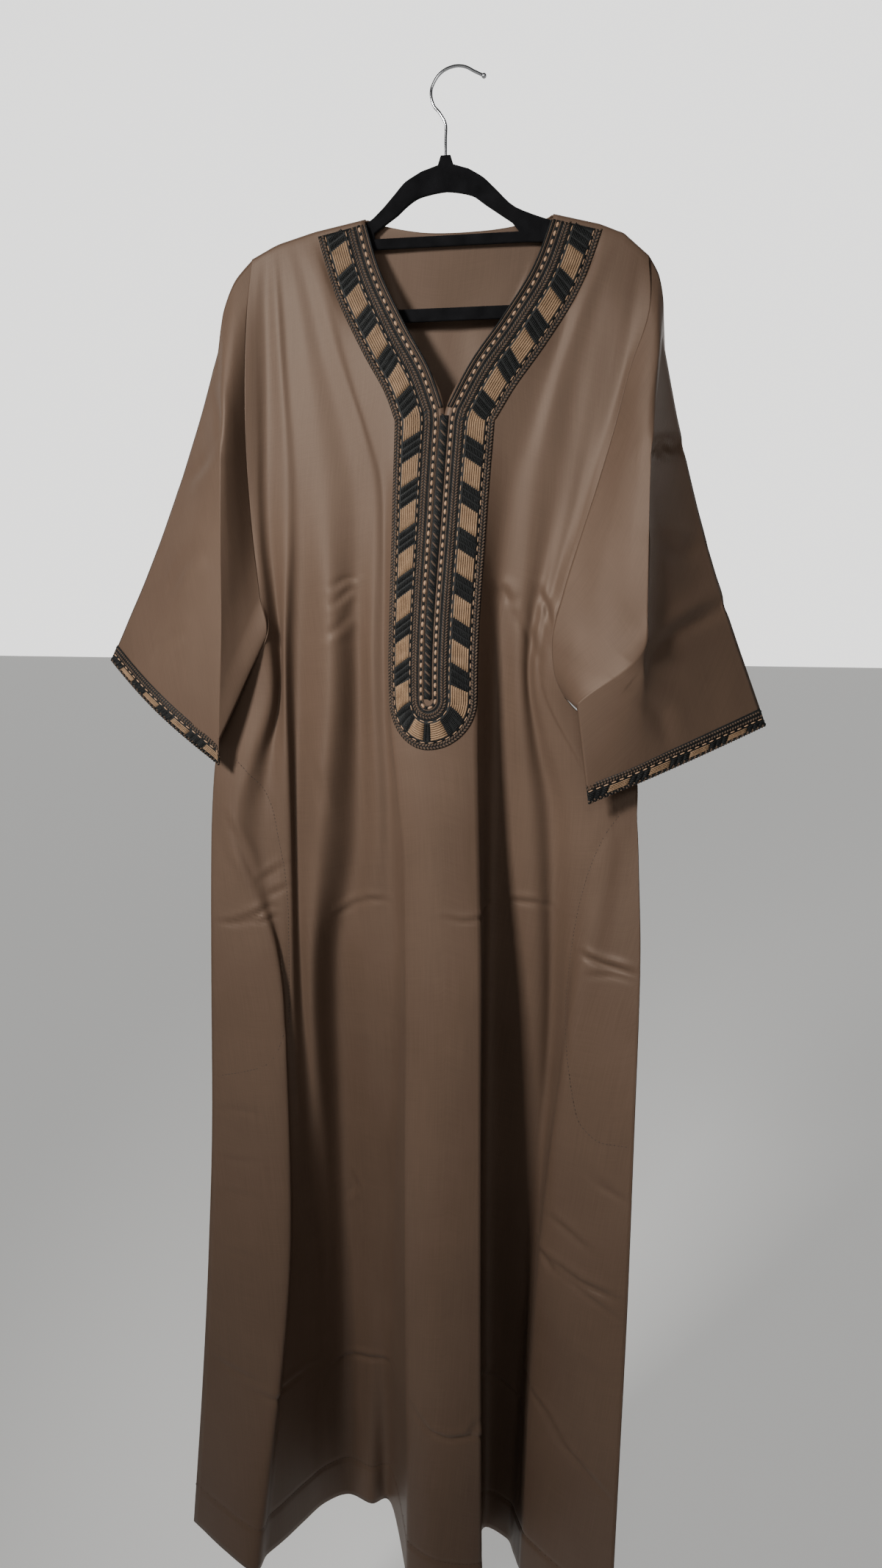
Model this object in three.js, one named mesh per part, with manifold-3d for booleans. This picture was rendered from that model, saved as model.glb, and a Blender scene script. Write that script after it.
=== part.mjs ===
// A thobe hanging on a padded clothes hanger, in millimetres.
// +Z is up, +X is the viewer's right and the front faces -Y.
// The origin is the inside top of the hanger's hook, where a rail or peg carries it.
import * as THREE from 'three';
import * as BufferGeometryUtils from 'three/addons/utils/BufferGeometryUtils.js';
import Module from 'manifold-3d';

const wasm = await Module();
wasm.setup();

// ---------------------------------------------------------------- driving sizes
const CLOTH = 1.5;            // wall of every cloth piece
const SEAM_HALF_GAP = 0.2;     // each edge stands back from the seam's plane by this much
const MOST_PULL = 1.2;        // the most that an edge stands back where the cloth leans over its seam
const LEAST_SLANT = 0.001;    // keeps the slant finite where an edge faces straight along its normal
const UNDERARM_PULL = 2.5;    // four seams meet there
const CUT_GAP = 0.25;         // gap left where one wall's edge is trimmed by its neighbour
const TRIM_CLEAR = 0.6;       // a trim's underside above the cloth
const TRIM = 1.6;             // thickness of the sewn-on bands and braids
const BAG = 1.2;              // wall of a pocket bag
const BAG_CLEAR = 0.4;        // a pocket bag's outside behind the front's inside
const SHOULDER_HALF_GAP = 1.65; // front and back stand off the shoulder seam by this much
const ROLL_DROP = 4;          // the cloth rolls over the hanger within this height
const ROLL_DEPTH = 6;         // and is this far forward or back at the foot of the roll

const ARM_ROWS = 8;           // rows of the body from shoulder to underarm
const SLIT_ROW = 4;           // the neck slit ends on this row
const SKIRT_ROWS = 16;        // rows from underarm to hem
const ROWS = ARM_ROWS + SKIRT_ROWS;

// ---------------------------------------------------------------- tables
// Heights that the fold tables give a value for.
const HEIGHTS = [-165, -260, -430, -600, -780, -960, -1250, -1655];

// One row for each fold line of the front: place across (x) and depth (y) at HEIGHTS.
const LEFT_FOLDS = [
  {
    name: 'pocket crest',
    x: [-211, -216, -216, -203, -245, -196, -187, -217],
    y: [-6, -12, -16, -22, -36, -52, -74, -140],
  },
  {
    name: 'behind crest',
    x: [-203, -204, -206, -196, -218, -190, -182, -205],
    y: [-7, -9, -10, -8, -26, -42, -58, -112],
  },
  {
    name: 'outer ridge',
    x: [-194, -189, -183, -188, -186, -181, -174, -192],
    y: [-8, -12, -16, -20, -28, -38, -44, -84],
  },
  {
    name: 'thin valley',
    x: [-186, -180, -169, -175, -178, -174, -164, -178],
    y: [-8, -11, -14, -9, -17, -27, -30, -50],
  },
  {
    name: 'left ridge',
    x: [-176, -161, -138, -133, -144, -159, -152, -162],
    y: [-9, -13, -18, -27, -34, -32, -14, -16],
  },
  {
    name: 'left recess',
    x: [-165, -144, -109, -108, -111, -137, -134, -137],
    y: [-9, -12, -15, -10, -12, -4, 4, 6],
  },
  {
    name: 'inner ridge',
    x: [-155, -128, -84, -89, -84, -99, -104, -105],
    y: [-10, -14, -18, -22, -26, -18, -8, -2],
  },
  {
    name: 'inner valley',
    x: [-147, -118, -74, -74, -66, -62, -66, -81],
    y: [-10, -13, -17, -22, -28, -34, -32, 4],
  },
];
const RIGHT_FOLDS = [
  {
    name: 'right recess',
    x: [156, 111, 58, 45, 43, 39, 36, 37],
    y: [-10, -12, -14, -9, -6, -4, -8, -12],
  },
  {
    name: 'recess floor',
    x: [163, 123, 85, 72, 87, 93, 84, 68],
    y: [-11, -14, -17, -18, -18, -16, -14, -16],
  },
  {
    name: 'pleat valley',
    x: [170, 138, 107, 82, 110, 113, 99, 80],
    y: [-10, -13, -15, -13, -10, -10, -24, -36],
  },
  {
    name: 'pleat ridge',
    x: [179, 153, 121, 89, 133, 128, 105, 88],
    y: [-10, -14, -17, -20, -26, -30, -38, -52],
  },
  {
    name: 'pocket crest',
    x: [186, 168, 130, 95, 168, 141, 112, 98],
    y: [-9, -15, -18, -23, -36, -50, -58, -66],
  },
  {
    name: 'side panel',
    x: [190, 181, 138, 101, 187, 174, 154, 150],
    y: [-6, -16, -21, -28, -36, -58, -82, -108],
  },
];

// The wide middle ridge below the slit, under the placket: its two edges and its middle.
const RIDGE_HEIGHTS = [-332, -430, -600, -690, -780, -960, -1250, -1655];
const RIDGE = {
  left: { x: [-61, -64, -66, -60, -49, -42, -39, -35], y: [-18, -21, -36, -42, -48, -66, -90, -106] },
  middle: { x: [-8, -14, -22, -19, -9, 0, 7, 13], y: [-20, -27, -43, -50, -57, -78, -104, -125] },
  right: { x: [45, 38, 31, 32, 35, 42, 48, 54], y: [-18, -22, -38, -44, -50, -72, -98, -114] },
};

// Neckline edge, from the shoulder seam down to the bottom of the slit.
const NECKLINE = {
  left: [[-95, -138], [-80, -186], [-52, -243], [-24, -292], [-9, -332]],
  right: [[100, -143], [83, -190], [52, -240], [19, -285], [-7, -332]],
};
const NECK_DEPTH = [-3, -10, -15, -18, -20];
const NECK_TANGENT = 0.04;    // in fractions of the neckline: half the length its direction is taken over
const NEAR_SEAM = 0.22;       // the band turns to the shoulder seam over this fraction of the neckline
const NEAR_SLIT = 0.28;       // and to the slit over this last fraction
const SLIT_LEAN = 0.22;       // fall of the band's cross lines beside the slit

// Side line of the body: armhole down to the underarm, then the side seam.
const SIDE = {
  left: {
    underarm: -572,
    hem: -1642,
    z: [-171, -246, -348, -442, -500, -572, -605, -645, -721, -805, -975, -1108, -1306, -1451, -1642],
    x: [-219, -225, -227, -223, -217, -208, -240, -262, -274, -278, -277, -278, -286, -294, -308],
    y: [-1, -14, -18, -18, -20, -26, -20, -16, -20, -28, -45, -52, -62, -72, -84],
  },
  right: {
    underarm: -629,
    hem: -1668,
    z: [
      -187, -229, -294, -364, -439, -514, -595, -629, -650,
      -685, -730, -810, -927, -1090, -1249, -1463, -1668,
    ],
    x: [196, 200, 182, 165, 143, 120, 107, 124, 166, 190, 199, 205, 210, 209, 208, 204, 200],
    y: [-1, -18, -22, -24, -26, -28, -32, -34, -28, -24, -30, -42, -62, -85, -105, -132, -144],
  },
};
const CENTRE_HEM = -1657;
const UNDERARM_CENTRE = -595;

// Shoulder line of each side, from the neck out to the armhole.
const SHOULDER = {
  left: [[-95, -138], [-150, -147.5], [-191, -158], [-219, -171]],
  right: [[100, -143], [147, -155], [171, -165], [196, -187]],
};

// Sleeves: the crease line between the front facet and the outer facet, and the cuff.
const SLEEVE = {
  left: {
    crease: [[-258, -12, -266], [-246, -44, -380], [-247, -52, -520], [-256, -50, -680]],
    backCrease: [[-258, -12, -266], [-262, 10, -400], [-272, 4, -540], [-264, -32, -690]],
    cuffOuter: [-406, 4, -598],
    cuffInner: [-258, -46, -709],
    frontBulge: -16,
    backBulge: 18,
    shoulderRound: [-8, 11],
    sag: 10,
  },
  right: {
    crease: [[212, -16, -268], [205, -58, -400], [207, -74, -560], [138, -62, -632]],
    backCrease: [[212, -16, -268], [226, 8, -420], [236, 2, -560], [160, -44, -660]],
    cuffOuter: [331, 6, -657],
    cuffInner: [152, -62, -735],
    frontBulge: -10,
    backBulge: 12,
    shoulderRound: [6, 8],
    sag: -10,
  },
};
const CUFF_BAND = 20;

// Offsets from the neckline edge, or from the placket's middle, at which the trims meet.
const BAND = { centre: 5, cord: 12, innerBraid: 22, blocks: 45, outerBraid: 53 };
const BAND_STEPS = [BAND.outerBraid, BAND.blocks, BAND.innerBraid, BAND.cord, BAND.centre, 0];
const PLACKET_ROUND = -632;   // centre of the placket's round end
const NECK_START = 0.15;      // in rows: the band starts just under the shoulder seam
const NECK_STEPS = 2;         // stations of the band for each row of the front
const PLACKET_STEPS = 3;
const ROUND_STATIONS = 12;
const EDGE = 0.2;             // half the gap between neighbouring strips
const EDGE_CORD_START = 1.4;  // the cord lies just inside the cloth's cut edge
const CENTRE_BRAID = { top: -348, bottom: -631, stations: 12 };

// Pocket bags: the first row, and how many columns each row's bag reaches in from the side.
const POCKET = {
  left: { row: 10, reach: [3, 5, 6, 6, 6, 5] },
  right: { row: 10, reach: [3, 5, 6, 6, 6, 5] },
};

// Back panel
const BACK_DEPTH = 17;
const BACK_FOLDS = [
  { at: 0.2, width: 0.07, yoke: 0.5, hem: 8 },
  { at: 0.36, width: 0.06, yoke: 1, hem: 12 },
  { at: 0.52, width: 0.08, yoke: 1, hem: 9 },
  { at: 0.69, width: 0.06, yoke: 1.5, hem: 13 },
  { at: 0.83, width: 0.06, yoke: 0.5, hem: 7 },
];
const BEHIND_HANGER = 5.5;    // depth of the back's neck edge where it passes the hanger
const BACK_NECK_PLACES = [0, 0.08, 0.36, 0.64, 0.92, 1];
const BACK_NECK = [[-95, -138], [-54, -150], [3, -154], [60, -151], [100, -143]];

// Hanger: one flat flocked frame of two arms under an arch, a lower bar and a tie bar.
const HANGER = {
  thickness: 5,
  bevel: 1,
  arch: [[-16, -81], [-19, -90], [-36, -95], [-53, -104], [-64, -115], [-79, -130], [-98, -143]],
  archRight: [[-6, -81], [-3, -90], [13, -95], [28, -104], [41, -116], [61, -134], [99, -149]],
  armLeft: [[-150, -153], [-191, -163.5], [-205, -172], [-211, -190], [-207, -226]],
  armRight: [[147, -161.5], [171, -172], [180, -180], [186, -196], [183, -226]],
  armWidth: 12,
  lowerBar: { bottom: -241, left: -196, right: 172 },
  underLeft: [[-200, -186], [-199, -212], [-190, -228]],
  underRight: [[166, -228], [174, -214], [174, -194]],
  archInside: [[-88, -153], [-61, -136], [-50, -127], [-37, -120], [-10, -116]],
  archInsideRight: [[16, -121], [31, -131], [58, -149]],
  tieBar: { top: -157.5, bottom: -168, left: -94, right: 73 },
  post: 8,
};
const HOOK = {
  wire: 1.6,
  ball: 2.7,
  path: [
    [-11, -80.7], [-11, -66], [-11, -52], [-17, -41], [-23.5, -33], [-26, -20],
    [-20, -7.5], [-11, -0.8], [0, 1.6], [9.5, 0], [18, -4.5], [28, -9.5],
  ],
};

// ---------------------------------------------------------------- materials
const paint = (color, roughness, metalness = 0) =>
  new THREE.MeshStandardMaterial({ color, roughness, metalness });
const FABRIC = paint(0x6f5e50, 0.62);
const TAN_THREAD = paint(0xa4835f, 0.7);
const DARK_THREAD = paint(0x33302c, 0.7);
const MIXED_THREAD = paint(0x5b4a3a, 0.75);
const PALE_THREAD = paint(0xc9a885, 0.65);
const LINING = paint(0x66564a, 0.8);
const VELVET = paint(0x0b0b0d, 0.95);
const CHROME = paint(0xc8cacd, 0.18, 1);

// ---------------------------------------------------------------- small maths
const mix = (a, b, t) => a + (b - a) * t;
const mixPoint = (a, b, t) => a.map((value, i) => mix(value, b[i], t));
const clamp01 = (t) => Math.min(1, Math.max(0, t));
const range = (count) => Array.from({ length: count }, (_, i) => i);

// Smooth curve through a table's values that never overshoots them.
function smoothAt(keys, values, key) {
  const last = keys.length - 1;
  const down = keys[last] < keys[0];
  const inside = down
    ? Math.min(keys[0], Math.max(keys[last], key))
    : Math.max(keys[0], Math.min(keys[last], key));
  let i = 0;
  while (i < last - 1 && (down ? inside < keys[i + 1] : inside > keys[i + 1])) i += 1;
  const slope = (n) => (values[n + 1] - values[n]) / (keys[n + 1] - keys[n]);
  const tangent = (n) => {
    if (n === 0) return slope(0);
    if (n === last) return slope(last - 1);
    const before = slope(n - 1);
    const after = slope(n);
    return before * after <= 0 ? 0 : (2 * before * after) / (before + after);
  };
  const width = keys[i + 1] - keys[i];
  const t = (inside - keys[i]) / width;
  const t2 = t * t;
  const t3 = t2 * t;
  return (2 * t3 - 3 * t2 + 1) * values[i]
    + (t3 - 2 * t2 + t) * width * tangent(i)
    + (3 * t2 - 2 * t3) * values[i + 1]
    + (t3 - t2) * width * tangent(i + 1);
}

// Point at a fraction of a polyline's knots, on a smooth curve through them.
function curveAt(knots, fraction) {
  const keys = knots.map((_, i) => i);
  const key = fraction * (knots.length - 1);
  return knots[0].map((_, axis) => smoothAt(keys, knots.map((knot) => knot[axis]), key));
}

// Point on a shoulder line at a place across, and its height.
function shoulderHeight(line, x) {
  for (let i = 0; i < line.length - 1; i += 1) {
    const [x0, z0] = line[i];
    const [x1, z1] = line[i + 1];
    const t = (x - x0) / (x1 - x0);
    if (t <= 1 || i === line.length - 2) return mix(z0, z1, clamp01(t));
  }
  return line[0][1];
}

// ---------------------------------------------------------------- body rows
const sideHeight = (side, row) => {
  const line = SIDE[side];
  if (row <= ARM_ROWS) return mix(line.z[0], line.underarm, row / ARM_ROWS);
  return mix(line.underarm, line.hem, (row - ARM_ROWS) / SKIRT_ROWS);
};
const sidePoint = (side, row) => {
  const line = SIDE[side];
  const z = sideHeight(side, row);
  return [smoothAt(line.z, line.x, z), smoothAt(line.z, line.y, z), z];
};
const centreHeight = (row) => {
  const slit = NECKLINE.left[NECKLINE.left.length - 1][1];
  if (row <= ARM_ROWS) return mix(slit, UNDERARM_CENTRE, (row - SLIT_ROW) / (ARM_ROWS - SLIT_ROW));
  return mix(UNDERARM_CENTRE, CENTRE_HEM, (row - ARM_ROWS) / SKIRT_ROWS);
};

// Neckline edge point and the direction away from the opening, at a fraction of the slit.
function neckEdge(side, fraction) {
  const knots = NECKLINE[side].map(([x, z], i) => [x, NECK_DEPTH[i], z]);
  const point = curveAt(knots, fraction);
  const before = curveAt(knots, Math.max(0, fraction - NECK_TANGENT));
  const after = curveAt(knots, Math.min(1, fraction + NECK_TANGENT));
  const along = [after[0] - before[0], after[2] - before[2]];
  const length = Math.hypot(...along);
  const sign = side === 'left' ? 1 : -1;
  let out = [(sign * along[1]) / length, (-sign * along[0]) / length];
  const shoulder = SHOULDER[side];
  const seam = [shoulder[1][0] - shoulder[0][0], shoulder[1][1] - shoulder[0][1]];
  const seamLength = Math.hypot(...seam);
  const nearSeam = clamp01(1 - fraction / NEAR_SEAM);
  const nearSlit = clamp01((fraction - 1 + NEAR_SLIT) / NEAR_SLIT);
  out = [mix(out[0], seam[0] / seamLength, nearSeam), mix(out[1], seam[1] / seamLength, nearSeam)];
  out = [mix(out[0], -sign, nearSlit), mix(out[1], -SLIT_LEAN, nearSlit)];
  const outLength = Math.hypot(...out);
  return { point, out: [out[0] / outLength, out[1] / outLength] };
}

// Points of the band's columns on a row, from its outer edge in to the neckline or the middle.
function bandPoints(side, row) {
  if (row <= SLIT_ROW) {
    const { point, out } = neckEdge(side, row / SLIT_ROW);
    return BAND_STEPS.map((offset) => {
      const x = point[0] + out[0] * offset;
      const z = point[2] + out[1] * offset;
      const depth = mix(point[1], point[1] + 1, offset / BAND.outerBraid);
      return [x, row === 0 ? -SHOULDER_HALF_GAP : depth, z];
    });
  }
  const z = centreHeight(row);
  const edge = RIDGE[side];
  const outer = [smoothAt(RIDGE_HEIGHTS, edge.x, z), smoothAt(RIDGE_HEIGHTS, edge.y, z), z];
  const middle = [
    smoothAt(RIDGE_HEIGHTS, RIDGE.middle.x, z),
    smoothAt(RIDGE_HEIGHTS, RIDGE.middle.y, z),
    z,
  ];
  return BAND_STEPS.map((offset) => {
    const t = offset / BAND.outerBraid;
    const point = mixPoint(middle, outer, t);
    point[1] = mix(middle[1], outer[1], t * t);
    return point;
  });
}

// Whole front row of one side, from the side line in to the neckline or the middle.
function halfRow(side, row, steps) {
  const folds = side === 'left' ? LEFT_FOLDS : [...RIGHT_FOLDS].reverse();
  const band = bandPoints(side, row);
  const edge = sidePoint(side, row);
  if (row === 0) edge[1] = -SHOULDER_HALF_GAP;
  const outer = band[0];
  const line = [edge];
  folds.forEach((fold, i) => {
    const t = (i + 1) / (folds.length + 1);
    const z = mix(edge[2], outer[2], t);
    const x = smoothAt(HEIGHTS, fold.x, z);
    line.push([x, smoothAt(HEIGHTS, fold.y, z), z]);
  });
  line.push(outer);
  if (row === 0) {
    line.forEach((point, i) => {
      point[0] = mix(edge[0], outer[0], i / (line.length - 1));
      point[1] = -SHOULDER_HALF_GAP;
      point[2] = shoulderHeight(SHOULDER[side], point[0]);
    });
  }
  return [...refine(line, steps), ...band.slice(1)];
}

// Smooth curve through a row's fold lines, with more points between them.
function refine(line, steps) {
  const points = [];
  for (let i = 0; i < line.length - 1; i += 1) {
    const before = line[Math.max(0, i - 1)];
    const after = line[Math.min(line.length - 1, i + 2)];
    for (let s = 0; s < steps; s += 1) {
      const t = s / steps;
      points.push(line[i].map((value, axis) => {
        const next = line[i + 1][axis];
        const a = (next - before[axis]) / 2;
        const b = (after[axis] - value) / 2;
        const t2 = t * t;
        const t3 = t2 * t;
        return (2 * t3 - 3 * t2 + 1) * value + (t3 - 2 * t2 + t) * a
          + (3 * t2 - 2 * t3) * next + (t3 - t2) * b;
      }));
    }
  }
  points.push(line[line.length - 1]);
  return points;
}

// The row just under the shoulder seam, where the cloth has rolled over the hanger.
const rollRow = (row, sign) => row.map(([x, , z]) => [x, sign * ROLL_DEPTH, z - ROLL_DROP]);

// ---------------------------------------------------------------- surfaces
// A surface is a list of points and a list of quads of their numbers, facing out.
const surface = () => ({ points: [], quads: [] });
function addPoint(sheet, point) {
  sheet.points.push(point);
  return sheet.points.length - 1;
}
function addGrid(sheet, numbers, flip = false) {
  for (let r = 0; r < numbers.length - 1; r += 1) {
    for (let c = 0; c < numbers[r].length - 1; c += 1) {
      const quad = [numbers[r][c], numbers[r + 1][c], numbers[r + 1][c + 1], numbers[r][c + 1]];
      sheet.quads.push(flip ? quad.reverse() : quad);
    }
  }
}

const FOLD_STEPS = 2;

function frontSurface() {
  const sheet = surface();
  const rows = [];
  range(ROWS + 1).forEach((row) => {
    const left = halfRow('left', row, FOLD_STEPS);
    const right = halfRow('right', row, FOLD_STEPS).reverse();
    rows.push({ left, right });
    if (row === 0) rows.push({ left: rollRow(left, -1), right: rollRow(right, -1) });
  });
  const joined = SLIT_ROW + 1;
  const leftNumbers = [];
  const rightNumbers = [];
  rows.forEach(({ left, right }, i) => {
    leftNumbers.push(left.map((point) => addPoint(sheet, point)));
    const shared = i > joined;
    const rest = shared ? right.slice(1) : right;
    const numbers = rest.map((point) => addPoint(sheet, point));
    const middle = leftNumbers[i][left.length - 1];
    rightNumbers.push(shared ? [middle, ...numbers] : numbers);
  });
  addGrid(sheet, leftNumbers);
  addGrid(sheet, rightNumbers);
  return sheet;
}

// Depth of the back at a fraction across and a fraction down.
function backDepth(across, down) {
  return BACK_FOLDS.reduce((depth, fold) => {
    const away = (across - fold.at) / fold.width;
    return depth + mix(fold.yoke, fold.hem, down) * Math.exp(-away * away);
  }, BACK_DEPTH);
}

const BACK_COLUMNS = 15;
const TURN_COLUMNS = 3;       // columns in which the back turns forward to a side seam
const TURN_WIDTH = 0.13;      // share of the back's width that the turn takes
const BACK_ARM_DEPTH = 11;    // depth of the back's armhole edge under the shoulder
const BACK_SHOULDER_COLUMNS = 5;

function backSide(side, row) {
  const point = sidePoint(side, row);
  const t = row / ARM_ROWS;
  if (row === 0) return [point[0], SHOULDER_HALF_GAP, point[2]];
  if (row < ARM_ROWS) return [point[0], mix(BACK_ARM_DEPTH, point[1], t * t * t), point[2]];
  return point;
}

function backRow(row) {
  const left = backSide('left', row);
  const right = backSide('right', row);
  const down = clamp01(row / ROWS);
  if (row === 0) return backTopRow();
  return range(BACK_COLUMNS + 1).map((column) => {
    const inLeft = column < TURN_COLUMNS;
    const inRight = column > BACK_COLUMNS - TURN_COLUMNS;
    if (!inLeft && !inRight) {
      const t = (column - TURN_COLUMNS) / (BACK_COLUMNS - 2 * TURN_COLUMNS);
      const across = mix(TURN_WIDTH, 1 - TURN_WIDTH, t);
      return [
        mix(left[0], right[0], across),
        backDepth(across, down),
        mix(left[2], right[2], across),
      ];
    }
    const edge = inLeft ? left : right;
    const far = inLeft ? right : left;
    const turn = (inLeft ? column : BACK_COLUMNS - column) / TURN_COLUMNS;
    const angle = (turn * Math.PI) / 2;
    const across = TURN_WIDTH * (1 - Math.cos(angle));
    const depth = backDepth(inLeft ? TURN_WIDTH : 1 - TURN_WIDTH, down);
    return [
      mix(edge[0], far[0], across),
      mix(edge[1], depth, Math.sin(angle)),
      mix(edge[2], far[2], across),
    ];
  });
}

function backTopRow() {
  const shoulder = BACK_SHOULDER_COLUMNS;
  const neck = BACK_COLUMNS - 2 * shoulder;
  const half = (side) => range(shoulder).map((i) => {
    const line = SHOULDER[side];
    const x = mix(line[line.length - 1][0], line[0][0], i / shoulder);
    return [x, SHOULDER_HALF_GAP, shoulderHeight(line, x)];
  });
  const middle = range(neck + 1).map((i) => {
    const [x, z] = curveAt(BACK_NECK, BACK_NECK_PLACES[i]);
    return [x, i % neck === 0 ? SHOULDER_HALF_GAP : BEHIND_HANGER, z];
  });
  return [...half('left'), ...middle, ...half('right').reverse()];
}

function backSurface() {
  const sheet = surface();
  const rows = [];
  range(ROWS + 1).forEach((row) => {
    rows.push(backRow(row));
    if (row === 0) rows.push(rollRow(backRow(0), 1));
  });
  addGrid(sheet, rows.map((row) => row.map((point) => addPoint(sheet, point))), true);
  return sheet;
}

// ---------------------------------------------------------------- sleeves
// One strand of a sleeve, from the armhole over the crease to the cuff.
const ARM_STEPS = 3;
const OUTER_STEPS = 4;
const ARM_SWELL = { front: -5, back: 3 };  // the facet beside the body stands out this far

function sleeveStrand(side, armPoint, fraction, isBack) {
  const sleeve = SLEEVE[side];
  const crease = curveAt(isBack ? sleeve.backCrease : sleeve.crease, fraction);
  const cuff = mixPoint(sleeve.cuffOuter, sleeve.cuffInner, fraction);
  cuff[1] += (isBack ? sleeve.backBulge : sleeve.frontBulge) * Math.sin(Math.PI * fraction);
  const strand = [];
  const atTop = (1 - fraction) ** 3;
  range(ARM_STEPS).forEach((i) => {
    const t = i / ARM_STEPS;
    const point = mixPoint(armPoint, crease, t);
    const swell = Math.sin(Math.PI * t);
    point[0] += sleeve.shoulderRound[0] * atTop * swell;
    point[2] += sleeve.shoulderRound[1] * atTop * swell;
    point[1] += (isBack ? ARM_SWELL.back : ARM_SWELL.front) * swell * Math.sin(Math.PI * fraction);
    strand.push(point);
  });
  const run = Math.hypot(...cuff.map((value, i) => value - crease[i]));
  const band = Math.min(CUFF_BAND, run * 0.5) / run;
  range(OUTER_STEPS + 1).forEach((i) => {
    const t = (i / OUTER_STEPS) * (1 - band);
    const point = mixPoint(crease, cuff, t);
    point[0] += sleeve.sag * Math.sin(Math.PI * t) * (1 - fraction);
    strand.push(point);
  });
  strand.push(cuff);
  return strand;
}

// All strands of a sleeve: down the front from the top fold, and up the back to it again.
function sleeveStrands(side) {
  const strands = [];
  const armFront = (row) => {
    const point = sidePoint(side, row);
    return row === 0 ? [point[0], -SHOULDER_HALF_GAP, point[2]] : point;
  };
  range(ARM_ROWS + 1).forEach((row) => {
    strands.push(sleeveStrand(side, armFront(row), row / ARM_ROWS, false));
  });
  range(ARM_ROWS).reverse().forEach((row) => {
    strands.push(sleeveStrand(side, backSide(side, row), row / ARM_ROWS, true));
  });
  return strands;
}

function sleeveSurface(side) {
  const sheet = surface();
  const strands = sleeveStrands(side);
  const numbers = strands.map((strand) => strand.map((point) => addPoint(sheet, point)));
  const lastBack = numbers[numbers.length - 1];
  // The two strands of the top fold share all but their armhole ends.
  numbers[numbers.length - 1] = [lastBack[0], ...numbers[0].slice(1)];
  addGrid(sheet, numbers, side === 'left');
  const [frontTop, backTop] = [numbers[0], numbers[numbers.length - 1]];
  sheet.triangles = [side === 'left'
    ? [frontTop[0], backTop[0], frontTop[1]]
    : [frontTop[0], frontTop[1], backTop[0]]];
  return dropUnused(sheet);
}

function dropUnused(sheet) {
  const used = new Map();
  const renumber = (n) => {
    if (!used.has(n)) used.set(n, used.size);
    return used.get(n);
  };
  const quads = sheet.quads.map((quad) => quad.map(renumber));
  const triangles = (sheet.triangles || []).map((triangle) => triangle.map(renumber));
  const points = [];
  used.forEach((to, from) => { points[to] = sheet.points[from]; });
  return { points, quads, triangles };
}

// ---------------------------------------------------------------- cloth walls
const faceList = (sheet) => [
  ...sheet.quads.flatMap(([a, b, c, d]) => [[a, b, c], [a, c, d]]),
  ...(sheet.triangles || []),
];
const SAME_PLACE = 0.02;      // points closer than this count as one
const keyOf = (point) => point.map((value) => Math.round(value / SAME_PLACE)).join(',');

const UNDERARMS = new Set(['left', 'right'].map((side) => keyOf(sidePoint(side, ARM_ROWS))));
const SLIT_END = keyOf(bandPoints('left', SLIT_ROW + 1)[BAND_STEPS.length - 1]);

// Normals shared by all sheets that meet at a point, so that their edges are cut alike.
function sharedNormals(sheets) {
  const sums = new Map();
  sheets.forEach((sheet) => faceList(sheet).forEach((face) => {
    const [a, b, c] = face.map((n) => new THREE.Vector3(...sheet.points[n]));
    const normal = b.clone().sub(a).cross(c.clone().sub(a));
    face.forEach((n) => {
      const key = keyOf(sheet.points[n]);
      if (!sums.has(key)) sums.set(key, new THREE.Vector3());
      sums.get(key).add(normal);
    });
  }));
  sums.forEach((normal) => normal.normalize());
  return sums;
}

function boundaryEdges(faces) {
  const edges = new Map();
  faces.forEach((face) => face.forEach((a, i) => {
    const b = face[(i + 1) % face.length];
    const key = a < b ? `${a}_${b}` : `${b}_${a}`;
    edges.set(key, edges.has(key) ? null : [a, b]);
  }));
  return [...edges.values()].filter((edge) => edge !== null);
}

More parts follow.
